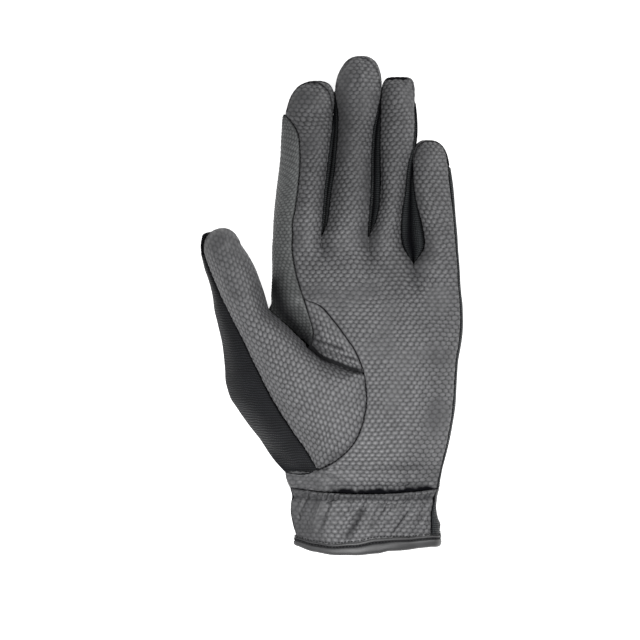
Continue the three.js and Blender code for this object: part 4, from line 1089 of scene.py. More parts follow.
def weld(patches: Sequence[Patch]) -> Cloth:
    """Return the patches joined where their points meet.

    Args:
        patches: Patches of one panel.

    Returns:
        The joined mesh, with its lining's faces.
    """
    points = np.concatenate([p.points.reshape(-1, 3) for p in patches])
    flat = np.concatenate([p.flat.reshape(-1, 2) for p in patches])
    keys, first, number = np.unique(np.round(points, 3), axis=0, return_index=True, return_inverse=True)
    number = number.reshape(-1)
    faces, inner, kept, start = [], [], set(), 0
    for patch in patches:
        r, c = patch.points.shape[:2]
        grid = np.arange(start, start + r * c).reshape(r, c)
        squares = np.stack([grid[:-1, :-1], grid[:-1, 1:], grid[1:, 1:], grid[1:, :-1]], -1)
        faces.append(squares.reshape(-1, 4))
        coarse = number[grid[np.ix_(patch.rows, patch.columns)]]
        quads = np.stack([coarse[:-1, :-1], coarse[1:, :-1], coarse[1:, 1:], coarse[:-1, 1:]], -1)
        quads = quads.reshape(-1, 4)
        inner += quads.tolist()
        kept.update(coarse.reshape(-1).tolist())
        start += r * c
    raw = np.concatenate(faces)
    corners = number[raw]
    twins = [corners[:, k] == corners[:, (k + 1) % 4] for k in range(4)]
    twin_count = np.sum(twins, axis=0)
    good = (twin_count <= 1) & (corners[:, 0] != corners[:, 2]) & (corners[:, 1] != corners[:, 3])
    corners, raw, twin = corners[good], raw[good], np.stack(twins, 1)[good]
    for k in range(4):
        bad = twin[:, k]
        order = [(k + 1 + j) % 4 for j in range(3)]
        corners[bad] = np.concatenate([corners[bad][:, order], np.full((bad.sum(), 1), -1)], axis=1)
        raw[bad] = np.concatenate([raw[bad][:, order], raw[bad][:, :1]], axis=1)
    lining = []
    for quad in inner:
        face = [quad[k] for k in range(4) if quad[k] != quad[(k + 1) % 4]]
        if len(set(face)) == len(face) >= 3:
            lining.append(tuple(face))
    cloth = Cloth(points[first], np.zeros((len(keys), 3)), corners, flat[raw], np.zeros(len(keys)), flat[first],
                  lining, np.array(sorted(kept)))
    cloth.normals = face_normals(cloth.points, corners)
    return cloth


def rim_edges(corners: Array) -> Array:
    """Return the directed edges that only one face uses.

    Args:
        corners: Point numbers of each face, the last -1 in a triangle.

    Returns:
        Pairs of point numbers.
    """
    edges = []
    for k in range(4):
        after = corners[:, (k + 1) % 4]
        if k == 2:
            after = np.where(corners[:, 3] < 0, corners[:, 0], corners[:, 3])
        used = corners[:, k] >= 0
        edges.append(np.stack([corners[used, k], after[used]], -1))
    edge = np.concatenate(edges)
    _, index, count = np.unique(np.sort(edge, axis=1), axis=0, return_index=True, return_counts=True)
    return edge[index[count == 1]]


class Emboss:
    """Pebbled embossing: domes in staggered rows."""

    PITCH = 2.9  # along a row
    ROW = 1.95  # between rows
    RADIUS = 1.62  # of a dome
    STEEPNESS = 2.1  # exponent of a dome's fall

    @classmethod
    def relief(cls, flat: Array) -> Array:
        """Return the height of the embossing.

        Args:
            flat: Flat places in millimetres.

        Returns:
            0 in the grooves to 1 on the domes.
        """
        ratio = cls.PITCH * math.sqrt(3) / 2 / cls.ROW
        nearest = np.full(flat.shape[:-1], 9.0)
        for shift in (0.0, 0.5):
            across = flat[..., 0] / cls.PITCH + shift
            along = flat[..., 1] / (2 * cls.ROW) + shift
            across = (across - np.round(across)) * cls.PITCH
            along = (along - np.round(along)) * 2 * cls.ROW * ratio
            nearest = np.minimum(nearest, across**2 + along**2)
        return np.clip(1 - (np.sqrt(nearest) / cls.RADIUS) ** cls.STEEPNESS, 0, 1)

    @staticmethod
    def warped(flat: Array, points: Array, seed: int) -> Array:
        """Return the flat places pulled about a little, as cloth is when it is sewn.

        Args:
            flat: Flat places in millimetres.
            points: The same points on the glove.
            seed: Chooses the pull.

        Returns:
            The moved flat places.
        """
        slow = np.stack([smooth_noise(points, 22, seed), smooth_noise(points, 26, seed + 1)], -1)
        quick = np.stack([smooth_noise(points, 6.3, seed + 2), smooth_noise(points, 5.7, seed + 3)], -1)
        return flat + 0.4 * slow + 0.2 * quick


@dataclass(frozen=True)
class Crease:
    """A dent along a line on the glove.

    Attributes:
        start: One end of the line in millimetres.
        end: The other end.
        width: Half width of the dent.
        depth: Depth in its middle.
    """

    start: tuple[float, float]
    end: tuple[float, float]
    width: float
    depth: float

    def dent(self, points: Array) -> Array:
        """Return how deep the dent is, fading towards its ends.

        Args:
            points: Points on the glove.

        Returns:
            One depth for each point.
        """
        a, b = np.array(self.start), np.array(self.end)
        line = b - a
        along = ((points[:, :2] - a) @ line) / (line @ line)
        place = a + np.clip(along, 0, 1)[:, None] * line
        gap = np.linalg.norm(points[:, :2] - place, axis=1)
        fade = np.sin(math.pi * np.clip(along * 0.9 + 0.05, 0, 1)) ** 0.6
        return self.depth * fade * bell(gap, self.width)


class Slot(Enum):
    """Material slots of the record."""

    EMBOSSED = "embossed_leather"
    KNIT = "stretch_knit"
    MESH = "ribbed_mesh"
    SMOOTH = "smooth_leather"


def in_scene(name: str, data: bpy.types.ID) -> bpy.types.Object:
    """Add an object to the scene.

    Args:
        name: Its name.
        data: The mesh, light or camera that it shows.

    Returns:
        The new object.
    """
    made = bpy.data.objects.new(name, data)
    bpy.context.scene.collection.objects.link(made)
    return made


SEAM_DARK, SEAM_WIDTH = 0.95, 0.36  # how dark the rim is, from dark thread and painted shade in the seam, and how wide
RIM_PRESS, RIM_PRESS_WIDTH = 0.6, 1.1  # how flat the embossing is at the rim, and how wide
RIM_REACH = 0.05  # how far the rim reaches over its cut line
CLOSED_EDGE = 9.0  # distance from the rim where a sheet has none
WAVE = 14.0  # length of the cloth's slow waves
SHEET_GAP, LINING_GAP = 0.02, 0.3  # least heights of a sheet and of its lining
TURN_IN = 0.9  # share of the wall by which the lining's rim is set in
# The lining gets no relief, painted shade of 0.8 inside the glove, and fully pressed embossing.
LINING_MASKS = (("relief", 0.0), ("shade", 0.8), ("pressed", 1.0))


@dataclass
class Panel:
    """One sewn panel of the glove.

    Attributes:
        name: Name of the piece.
        node: The CAD node that it stands for.
        slot: Material slot of the record.
        patches: Its fine sheets.
        wall: Thickness in millimetres; 0 for a piece that is closed already.
        emboss: Height of the embossing in millimetres.
        seed: Chooses the panel's own unevenness.
        creases: Dents of its own.
        swell: Extra height over the sheet, or None.
        edge_roll: How far the rim turns in.
        roll_width: Width of the turned rim.
        rough: Unevenness of the cloth.
        shade: Extra darkening, or None: painted shade in folds, creases, gaps and grooves, and dark seam lines
            and knit.
        pressed: Where the embossing is pressed flat, or None.
        slack: How far the lining keeps below the cut where the sheet is dented.
        inward: The way into the sheet at each point of its rim.
    """

    name: str
    node: str
    slot: Slot
    patches: list[Patch]
    wall: float = 0.8
    emboss: float = 0.0
    seed: int = 1
    creases: tuple[Crease, ...] = ()
    swell: Callable[[Cloth], Array] | None = None
    edge_roll: float = 0.5
    roll_width: float = 0.55
    rough: float = 0.12
    shade: Callable[[Cloth], Array] | None = None
    pressed: Callable[[Cloth], Array] | None = None
    slack: float = 0.0
    inward: Array = field(default_factory=lambda: np.zeros((0, 3)))

    def sheet(self) -> tuple[Cloth, dict[str, Array]]:
        """Return the welded sheet with its masks, ready to be given a wall."""
        cloth = weld(self.patches)
        rim = rim_edges(cloth.corners)
        if len(rim):
            tree = KDTree(len(rim))
            for i, (a, b) in enumerate(rim):
                tree.insert((cloth.points[a] + cloth.points[b]) / 2, i)
            tree.balance()
            cloth.edge = np.array([tree.find(p)[2] for p in cloth.points])
            cloth.edge[rim.reshape(-1)] = 0
        else:
            cloth.edge = np.full(len(cloth.points), CLOSED_EDGE)
        relief, total, count = (np.zeros(len(cloth.points)) for _ in range(3))
        offset = Emboss.warped(cloth.flat.reshape(-1, 2),
                               cloth.points[np.maximum(cloth.corners, 0)].reshape(-1, 3), self.seed)
        cloth.flat = offset.reshape(cloth.flat.shape)
        if self.emboss:
            used = cloth.corners.reshape(-1) >= 0
            values = Emboss.relief(offset)
            np.add.at(total, cloth.corners.reshape(-1)[used], values[used])
            np.add.at(count, cloth.corners.reshape(-1)[used], 1)
            relief = total / np.maximum(count, 1)
        pressed = RIM_PRESS * bell(cloth.edge, RIM_PRESS_WIDTH)
        if self.pressed is not None:
            pressed = np.clip(np.maximum(pressed, self.pressed(cloth)), 0, 1)
        relief *= 1 - pressed
        height = self.emboss * relief - self.edge_roll * bell(cloth.edge, self.roll_width)
        height += self.rough * smooth_noise(cloth.points, WAVE, self.seed + 40)
        for crease in self.creases:
            height -= crease.dent(cloth.points)
        if self.swell is not None:
            height += self.swell(cloth)
        # Darken the rim: dark thread and painted shade where the panels meet.
        shade = SEAM_DARK * bell(cloth.edge, SEAM_WIDTH)
        if self.shade is not None:
            shade = np.maximum(shade, self.shade(cloth))
        base = cloth.points
        cloth.height = height
        cloth.points = cloth.points + cloth.normals * height[:, None]
        cloth.points[:, 2] = np.maximum(cloth.points[:, 2], SHEET_GAP)
        if len(rim):
            inward = np.zeros_like(cloth.points)
            line = base[rim[:, 1]] - base[rim[:, 0]]
            line /= np.maximum(np.linalg.norm(line, axis=1, keepdims=True), 1e-9)
            for k in (0, 1):
                np.add.at(inward, rim[:, k], np.cross(cloth.normals[rim[:, k]], line))
            inward /= np.maximum(np.linalg.norm(inward, axis=1, keepdims=True), 1e-9)
            cloth.points += inward * RIM_REACH
            self.inward = inward
        return cloth, {"relief": relief, "shade": np.clip(shade, 0, 1), "pressed": pressed}

    def build(self) -> bpy.types.Object:
        """Return the panel as a mesh object with its flat places and masks."""
        cloth, masks = self.sheet()
        faces = [tuple(f if f[3] >= 0 else f[:3]) for f in cloth.corners.tolist()]
        flats = [pair for face, flat in zip(faces, cloth.flat.tolist()) for pair in flat[:len(face)]]
        points = cloth.points
        if self.wall:
            deeper = np.maximum(0, cloth.height[cloth.kept] + self.slack) * smooth(cloth.edge[cloth.kept] / 3)
            depth = self.wall + deeper * (self.slack > 0)
            lining = points[cloth.kept] - cloth.normals[cloth.kept] * depth[:, None]
            lining += self.inward[cloth.kept] * self.wall * TURN_IN
            lining[:, 2] = np.maximum(lining[:, 2], LINING_GAP)
            number = {int(p): len(points) + i for i, p in enumerate(cloth.kept)}
            joins = self.rim_joins(rim_edges(cloth.corners), number)
            inner = [tuple(number[p] for p in face) for face in cloth.lining] + joins
            points = np.concatenate([points, lining])
            for name, value in LINING_MASKS:
                masks[name] = np.concatenate([masks[name], np.full(len(lining), value)])
            places = np.concatenate([cloth.place, cloth.place[cloth.kept]])
            for face in inner:
                flats += [tuple(places[p]) for p in face]
            faces += inner
        mesh = bpy.data.meshes.new(self.name)
        mesh.from_pydata(((points - MIDDLE) * MM).tolist(), [], faces)
        uv = mesh.uv_layers.new(name="Flat")
        uv.data.foreach_set("uv", np.array(flats, np.float32).reshape(-1))
        for name, values in masks.items():
            mesh.attributes.new(name, "FLOAT", "POINT").data.foreach_set("value", values.astype(np.float32))
        mesh.polygons.foreach_set("use_smooth", np.ones(len(faces), bool))
        mesh.update()
        LOG.info("%s: %d faces", self.name, len(faces))
        return in_scene(self.name, mesh)

    @staticmethod
    def rim_joins(rim: Array, number: dict[int, int]) -> list[tuple[int, ...]]:
        """Return the faces that join the rim of the sheet to the coarser rim of its lining.

        Args:
            rim: Directed edges of the sheet's rim.
            number: Lining point of each kept point.

        Returns:
            Triangles that close the wall's edge.
        """
        onward = {int(a): int(b) for a, b in rim}
        faces, left = [], set(onward)
        while left:
            start = next((p for p in left if p in number), None)
            if start is None:
                break
            here, inner = start, number[start]
            while True:
                left.discard(here)
                after = onward.get(here)
                if after is None:
                    break
                faces.append((here, inner, after))
                if after in number:
                    faces.append((inner, number[after], after))
                    inner = number[after]
                here = after
                if here == start or here not in left:
                    break
        return faces


def tip_line(cloth: Cloth) -> Array:
    """Return the dark lines inside the finger ends and beside two seams, and the knit at the ring tip.

    Args:
        cloth: The welded panel.

    Returns:
        One value for each point.
    """
    x, y = cloth.points[:, 0], cloth.points[:, 1]
    ring_left = smooth((y - 45) / 4) * smooth((76 - y) / 4) * bell(x - 24.2, 1.8) * bell(x - 23.9, 0.35)
    beside = x - np.interp(y, (52, 71, 90), (-4.0, -1.9, -0.9))
    index_right = smooth((y - 50) / 12) * smooth((90 - y) / 3) * bell(beside, 0.3)
    found = np.maximum(0.85 * ring_left, 0.6 * index_right)
    rim = bell(cloth.edge - 0.5, 0.42)
    found = np.maximum(found, 0.97 * rim * smooth((y - 88) / 2) * smooth((1 - x) / 3))
    for name, strength in (("index", 0.97), ("middle", 0.6), ("ring", 0.7), ("little", 0.9)):
        finger = FINGERS[name]
        end, tip = finger.rows[-1], finger.tip
        across = np.abs(x - (end[FXL] + end[FXR]) / 2) / ((end[FXR] - end[FXL]) / 2)
        along = np.maximum(0, (y - end[FY]) / (tip[1] - end[FY]))
        reach = (across**finger.squareness + along**finger.squareness) ** (1 / finger.squareness)
        own = smooth((y - end[FY]) / 2) * (across < 1.2)
        found = np.maximum(found, strength * own * bell(reach - 0.93, 0.035))
        if name == "ring":
            knit = own * smooth((y - 103.2 + 0.2 * np.maximum(0, 28 - x)) / 0.5)
            knit *= smooth((36.0 - x) / 1.5) * smooth((x - 23.3) / 0.5)
            found = np.maximum(found, 0.97 * knit)
    return found


def palm_swell(cloth: Cloth) -> Array:
    """Return the puckers and waves over the wrist, the gather line and the unevenness of the tips.

    Args:
        cloth: The welded panel.

    Returns:
        One value for each point.
    """
    x, y = cloth.points[:, 0], cloth.points[:, 1]
    rise = y + 84.5
    across = cloth.points[:, [0, 0, 0]]
    pucker = smooth_noise(across, 3.4, 61) * 0.5 + smooth_noise(across, 7.5, 62) * 0.55
    height = pucker * np.exp(-np.maximum(rise, 0) / 4.5)
    height += 0.35 * np.sin((y + 0.35 * x) * 2 * math.pi / 5.2) * bell(rise - 8, 5) * smooth((12 - x) / 18)
    tips = smooth((y - 96) / 8)
    height += 0.25 * tips * smooth_noise(cloth.points, 4.5, 65)
    deep = smooth((x + 2) / 12) * smooth((48 - x) / 8)
    return height * smooth(cloth.edge / 1.2) - 1.2 * deep * bell(y - row_y(HAND[WRIST_ROW], x) - 2.6, 1.2)


def palm_pressed(cloth: Cloth) -> Array:
    """Return where the palm's embossing is pressed flat: over the wrist and along the middle finger.

    Args:
        cloth: The welded panel.

    Returns:
        One value for each point.
    """
    x, y = cloth.points[:, 0], cloth.points[:, 1]
    wrist = smooth((18 - x) / 20) * smooth((-72 - y) / 6)
    middle = smooth((12.5 - x) / 6) * smooth((x + 1) / 2) * smooth((y - 60) / 12)
    wear_and_painted_shade = 0.45 * smooth((smooth_noise(cloth.points, 18, 71) - 0.15) / 0.7)
    return np.maximum.reduce([0.5 * wrist, 0.6 * middle, wear_and_painted_shade])


def palm_shade(cloth: Cloth) -> Array:
    """Return painted shadow along the gather line at the wrist, the dark lines at the finger ends, painted
    shade over the upper palm and the fingers, and a darkening over the wrist.

    Args:
        cloth: The welded panel.

    Returns:
        One value for each point.
    """
    x, y = cloth.points[:, 0], cloth.points[:, 1]
    deep = smooth((x + 6) / 12) * smooth((49 - x) / 5)
    # Painted shadow under the palm's leather where it overhangs the gathered wrist seam.
    gather = (1 + 0.5 * deep) * bell(y - row_y(HAND[WRIST_ROW], x), 0.6 + 1.5 * deep) * (0.6 + 0.38 * deep)
    # Painted shade over the upper palm, fading at the finger ends, and a darkening over the wrist.
    wear_and_painted_shade = 0.1 * smooth((y + 66) / 20) * smooth((108 - y) / 14) + 0.13 * smooth((-70 - y) / 6)
    # Painted shade that darkens the fingers.
    fingers = 0.24 * smooth((y - 30) / 20) * smooth((102 - y) / 20) * smooth((37 - x) / 4)
    gather = gather * (1 - 0.2 * smooth_noise(cloth.points, 3, 81))
    return np.maximum.reduce([gather, tip_line(cloth), wear_and_painted_shade, fingers])


def near_line(points: Array, line: Sequence[tuple[float, float]]) -> Array:
    """Return the distance in plan from points to a line of several pieces.

    Args:
        points: Points on the glove.
        line: Corners of the line.

    Returns:
        One distance for each point.
    """
    gaps = []
    for start, end in zip(line[:-1], line[1:]):
        a, b = np.array(start), np.array(end) - start
        share = np.clip(((points[:, :2] - a) @ b) / (b @ b), 0, 1)
        gaps.append(np.linalg.norm(points[:, :2] - a - share[:, None] * b, axis=1))
    return np.min(gaps, axis=0)


# Folds of the web at the root of the thumb, then the depth and width of each as a dent and as a line of painted
# shade.
WEB_FOLDS = (
    ((-10.5, -18.6), (-4.1, -24.2), (6.4, -28.4), (14.6, -30.6)),
    ((-6.9, -19.1), (0.2, -22.6), (11.9, -24.9)),
    ((-10.3, -11.5), (-8.0, -16.2), (4.9, -20.2)),
)
WEB_DEPTHS = ((0.9, 1.2), (0.5, 0.7), (0.6, 0.9))
WEB_MARKS = ((0.75, 1.2), (0.5, 0.6), (0.55, 0.8))


def thumb_swell(cloth: Cloth) -> Array:
    """Return the folds of the web at the root of the thumb."""
    return -sum(depth * bell(near_line(cloth.points, fold), width)
                for fold, (depth, width) in zip(WEB_FOLDS, WEB_DEPTHS))


def thumb_pressed(cloth: Cloth) -> Array:
    """Return where the thumb's embossing is pressed flat by wear, more towards its tip."""
    y = cloth.points[:, 1]
    return 0.3 * smooth((y + 12) / 20) + 0.28 * smooth((y - 18) / 10)


def thumb_shade(cloth: Cloth) -> Array:
    """Return painted shade in the web's folds and the hollow beside them, the dark line inside the thumb's end,
    and a darkening of the ball of the thumb towards the wrist.

    Args:
        cloth: The welded panel.

    Returns:
        One value for each point.
    """
    y = cloth.points[:, 1]
    # Painted shade in the web's folds and in the hollow beside them.
    shade = np.max([dark * bell(near_line(cloth.points, fold), width)
                    for fold, (dark, width) in zip(WEB_FOLDS, WEB_MARKS)], axis=0)
    shade = np.maximum(shade, 0.45 * bell(near_line(cloth.points, ((-12.5, -2.0), (-9.8, -13.0))), 2.2))
    line = 0.5 * smooth((y - 24) / 6) * bell(cloth.edge - 0.6, 0.35)
    ball = 0.12 * smooth((-16 - y) / 20)
    return np.maximum.reduce([shade, line, ball])


def band_shade(cloth: Cloth) -> Array:
    """Return painted shade deep between two fingers, darker the lower the knit lies."""
    return 0.97 * smooth((9.3 - cloth.points[:, 2]) / 2.0)


def side_shade(cloth: Cloth) -> Array:
    """Return painted shade in the hollow between the index finger's side and the thumb."""
    path = ((-26.6, 10.0), (-25.0, 5.0), (-22.0, -3.0), (-17.0, -9.5), (-11.0, -16.0))
    return 0.86 * bell(near_line(cloth.points, path), 4.3)


def cuff_shade(cloth: Cloth) -> Array:
    """Return painted shade in the cuff's deepest fold, its thin creases and its gathers below the wrist seam,
    and an overall darkening, more towards the thumb edge.

    Args:
        cloth: The welded panel.

    Returns:
        One value for each point.
    """
    y = cloth.points[:, 1]
    # Painted shade in the deepest fold.
    fold = 0.66 * bell(near_line(cloth.points, ((7.8, -105.5), (14.2, -94.4))), 2.1)
    side = 0.13 + 0.2 * smooth((1 - cloth.points[:, 0]) / 8)
    # Painted shade along thin creases.
    lines = (((28.4, -104.0), (35.3, -94.4)), ((23.8, -94.4), (26.1, -89.3)),
             ((-14.6, -99.0), (-14.8, -95.3)),
             ((-2.0, -90.6), (4.0, -87.5)), ((33.0, -91.0), (36.0, -88.0)))
    thin = np.max([0.7 * bell(near_line(cloth.points, line), 0.4) for line in lines], axis=0)
    # Also painted shade of the gathers just below the wrist seam.
    return np.maximum.reduce([fold, thin, side, 0.5 * bell(-88.0 - y, 2.0)])


def hem_shade(cloth: Cloth) -> Array:
    """Return painted shade in the groove that the binding's stitches pull in.

    Args:
        cloth: The welded panel.

    Returns:
        One value for each point.
    """
    x, y, z = cloth.points.T
    hang = hem_hang(cloth.points, np.float64(-3.3))
    return 0.9 * bell(y - row_y(HAND[0], x) - 3.3 + hang, 0.5) * smooth((z - 3) / 2)


def cuff_pressed(cloth: Cloth) -> Array:
    """Return where the cuff's embossing is pressed flat, towards the thumb edge."""
    x = cloth.points[:, 0]
    return 0.5 * smooth((2 - x) / 6) + 0.25 * smooth(smooth_noise(cloth.points, 7, 97))


def cuff_swell(cloth: Cloth) -> Array:
    """Return the gathers of the cuff band below the wrist seam and its broad folds.

    Args:
        cloth: The welded panel.

    Returns:
        One value for each point.
    """
    drop = -86.4 - cloth.points[:, 1]
    line = cloth.points[:, [0, 0, 0]] + 0.35 * drop[:, None]
    gathers = smooth_noise(line, 3.0, 91) * 0.5 + smooth_noise(line, 6.5, 92) * 0.55
    height = gathers * np.exp(-np.maximum(drop, 0) / 5)
    height += 0.7 * smooth_noise(line, 9, 93) * smooth(drop / 5) * smooth((20 - drop) / 8)
    return height * smooth(cloth.edge / 1.2) - 0.9 * bell(drop - 2.2, 1.1)


Socket = bpy.types.NodeSocket
Value = Socket | float | Sequence[float]


class Tree:
    """Short way to write a node tree."""

    def __init__(self, tree: bpy.types.NodeTree) -> None:
        """Keep the tree."""
        self.tree = tree

    def add(self, kind: str, inputs: dict[str | int, object] | None = None,
            **settings: object) -> bpy.types.Node:
        """Add a node.

        Args:
            kind: Blender's name of the node type.
            inputs: Values or sockets by input name or number.
            settings: Properties of the node.

        Returns:
            The new node.
        """
        node = self.tree.nodes.new(kind)
        for key, value in settings.items():
            setattr(node, key, value)
        for key, value in (inputs or {}).items():
            if isinstance(value, bpy.types.NodeSocket):
                self.tree.links.new(value, node.inputs[key])
            else:
                node.inputs[key].default_value = value
        return node

    def link(self, source: Socket, target: Socket) -> None:
        """Join two sockets."""
        self.tree.links.new(source, target)

    def math(self, operation: str, *values: Value) -> Socket:
        """Return the result of a Math node on values or sockets."""
        return self.add("ShaderNodeMath", dict(enumerate(values)), operation=operation).outputs[0]

    def noise(self, vector: Socket, scale: Value, detail: float = 2.0) -> Socket:
        """Return a noise value at a vector."""
        return self.add("ShaderNodeTexNoise", {"Vector": vector, "Scale": scale, "Detail": detail}).outputs[0]

    def ramp(self, value: Value, low: float, high: float, to_low: float = 0.0,
             to_high: float = 1.0) -> Socket:
        """Return a value taken from one range to another, kept inside it."""
        return self.add("ShaderNodeMapRange", {0: value, 1: low, 2: high, 3: to_low, 4: to_high}).outputs[0]

    def blend(self, share: Value, first: Value, second: Value) -> Socket:
        """Return a colour between two."""
        return self.add("ShaderNodeMix", {0: share, 6: first, 7: second}, data_type="RGBA").outputs[2]


def new_group(name: str, inputs: dict[str, tuple[str, float | None]],
              outputs: dict[str, str]) -> tuple[Tree, bpy.types.Node, bpy.types.Node]:
    """Return an empty shader group with its sockets.

    Args:
        name: Name of the group.
        inputs: Kind and default of each input.
        outputs: Kind of each output.

    Returns:
        The tree, its input node and its output node.
    """
    group = bpy.data.node_groups.new(name, "ShaderNodeTree")
    for label, (kind, default) in inputs.items():
        socket = group.interface.new_socket(label, in_out="INPUT", socket_type=kind)
        if default is not None:
            socket.default_value = default
    for label, kind in outputs.items():
        group.interface.new_socket(label, in_out="OUTPUT", socket_type=kind)
    tree = Tree(group)
    return tree, tree.add("NodeGroupInput"), tree.add("NodeGroupOutput")


class SharedEffects:
    """The shader groups that several finishes use."""

    def __init__(self) -> None:
        """Build each group once."""
        self.pebbles = self.build_pebbles()
        self.rows = self.build_rows()
        self.mottle = self.build_mottle()

    @staticmethod
    def build_pebbles() -> bpy.types.NodeTree:
        """Return the group that gives the embossing's height from the flat place."""
        tree, source, result = new_group(
            "pebbles", {"Flat": ("NodeSocketVector", None), "Pitch": ("NodeSocketFloat", Emboss.PITCH),
                        "Row": ("NodeSocketFloat", Emboss.ROW)}, {"Relief": "NodeSocketFloat"})
        place = tree.add("ShaderNodeSeparateXYZ", {0: source.outputs["Flat"]})
        pitch, row = source.outputs["Pitch"], source.outputs["Row"]
        double = tree.math("MULTIPLY", row, 2.0)
        found = []
        for shift in (0.0, 0.5):
            squares = []
            for value, length in ((place.outputs[0], pitch), (place.outputs[1], double)):
                cell = tree.math("ADD", tree.math("DIVIDE", value, length), shift)
                offset = tree.math("SUBTRACT", cell, tree.math("ROUND", cell))
                scaled = tree.math("MULTIPLY", offset, pitch)
                if length is double:
                    scaled = tree.math("MULTIPLY", scaled, math.sqrt(3))
                squares.append(tree.math("MULTIPLY", scaled, scaled))
            found.append(tree.math("ADD", *squares))
        nearest = tree.math("SQRT", tree.math("MINIMUM", *found))
        share = tree.math("DIVIDE", nearest, tree.math("MULTIPLY", pitch, 0.56))
        relief = tree.math("SUBTRACT", 1.0, tree.math("POWER", share, Emboss.STEEPNESS))
        tree.link(tree.ramp(relief, 0.0, 1.0), result.inputs["Relief"])
        return tree.tree

    @staticmethod
    def build_rows() -> bpy.types.NodeTree:
        """Return the group for fine ribs crossed by fainter columns, as in knit and mesh."""
        tree, source, result = new_group(
            "knit_rows", {"Flat": ("NodeSocketVector", None), "Rib": ("NodeSocketFloat", 1.1),
                          "Column": ("NodeSocketFloat", 0.9), "Cross": ("NodeSocketFloat", 0.4)},
            {"Height": "NodeSocketFloat"})
        place = tree.add("ShaderNodeSeparateXYZ", {0: source.outputs["Flat"]})
        waves = []
        for axis, label in ((1, "Rib"), (0, "Column")):
            angle = tree.math("MULTIPLY", place.outputs[axis], 2 * math.pi)
            turn = tree.math("DIVIDE", angle, source.outputs[label])
            waves.append(tree.math("MULTIPLY_ADD", tree.math("SINE", turn), 0.5, 0.5))
        cross = tree.math("MULTIPLY", waves[1], source.outputs["Cross"])
        kept = tree.math("SUBTRACT", 1.0, source.outputs["Cross"])
        height = tree.math("MULTIPLY", waves[0], tree.math("ADD", cross, kept))
        tree.link(height, result.inputs["Height"])
        return tree.tree

    @staticmethod
    def build_mottle() -> bpy.types.NodeTree:
        """Return the group for slow changes of tone and for fine grain."""
        tree, source, result = new_group(
            "mottle", {"Place": ("NodeSocketVector", None), "Patch": ("NodeSocketFloat", 45.0),
                       "Grain": ("NodeSocketFloat", 1800.0)},
            {"Tone": "NodeSocketFloat", "Grain": "NodeSocketFloat"})
        for label, scale, detail in (("Tone", "Patch", 3.0), ("Grain", "Grain", 2.0)):
            noise = tree.noise(source.outputs["Place"], source.outputs[scale], detail)
            tree.link(noise, result.inputs[label])
        return tree.tree


class Weave(Enum):
    """What the surface of a finish shows."""

    PEBBLED = "pebbled"
    RIBBED = "ribbed"
    PLAIN = "plain"


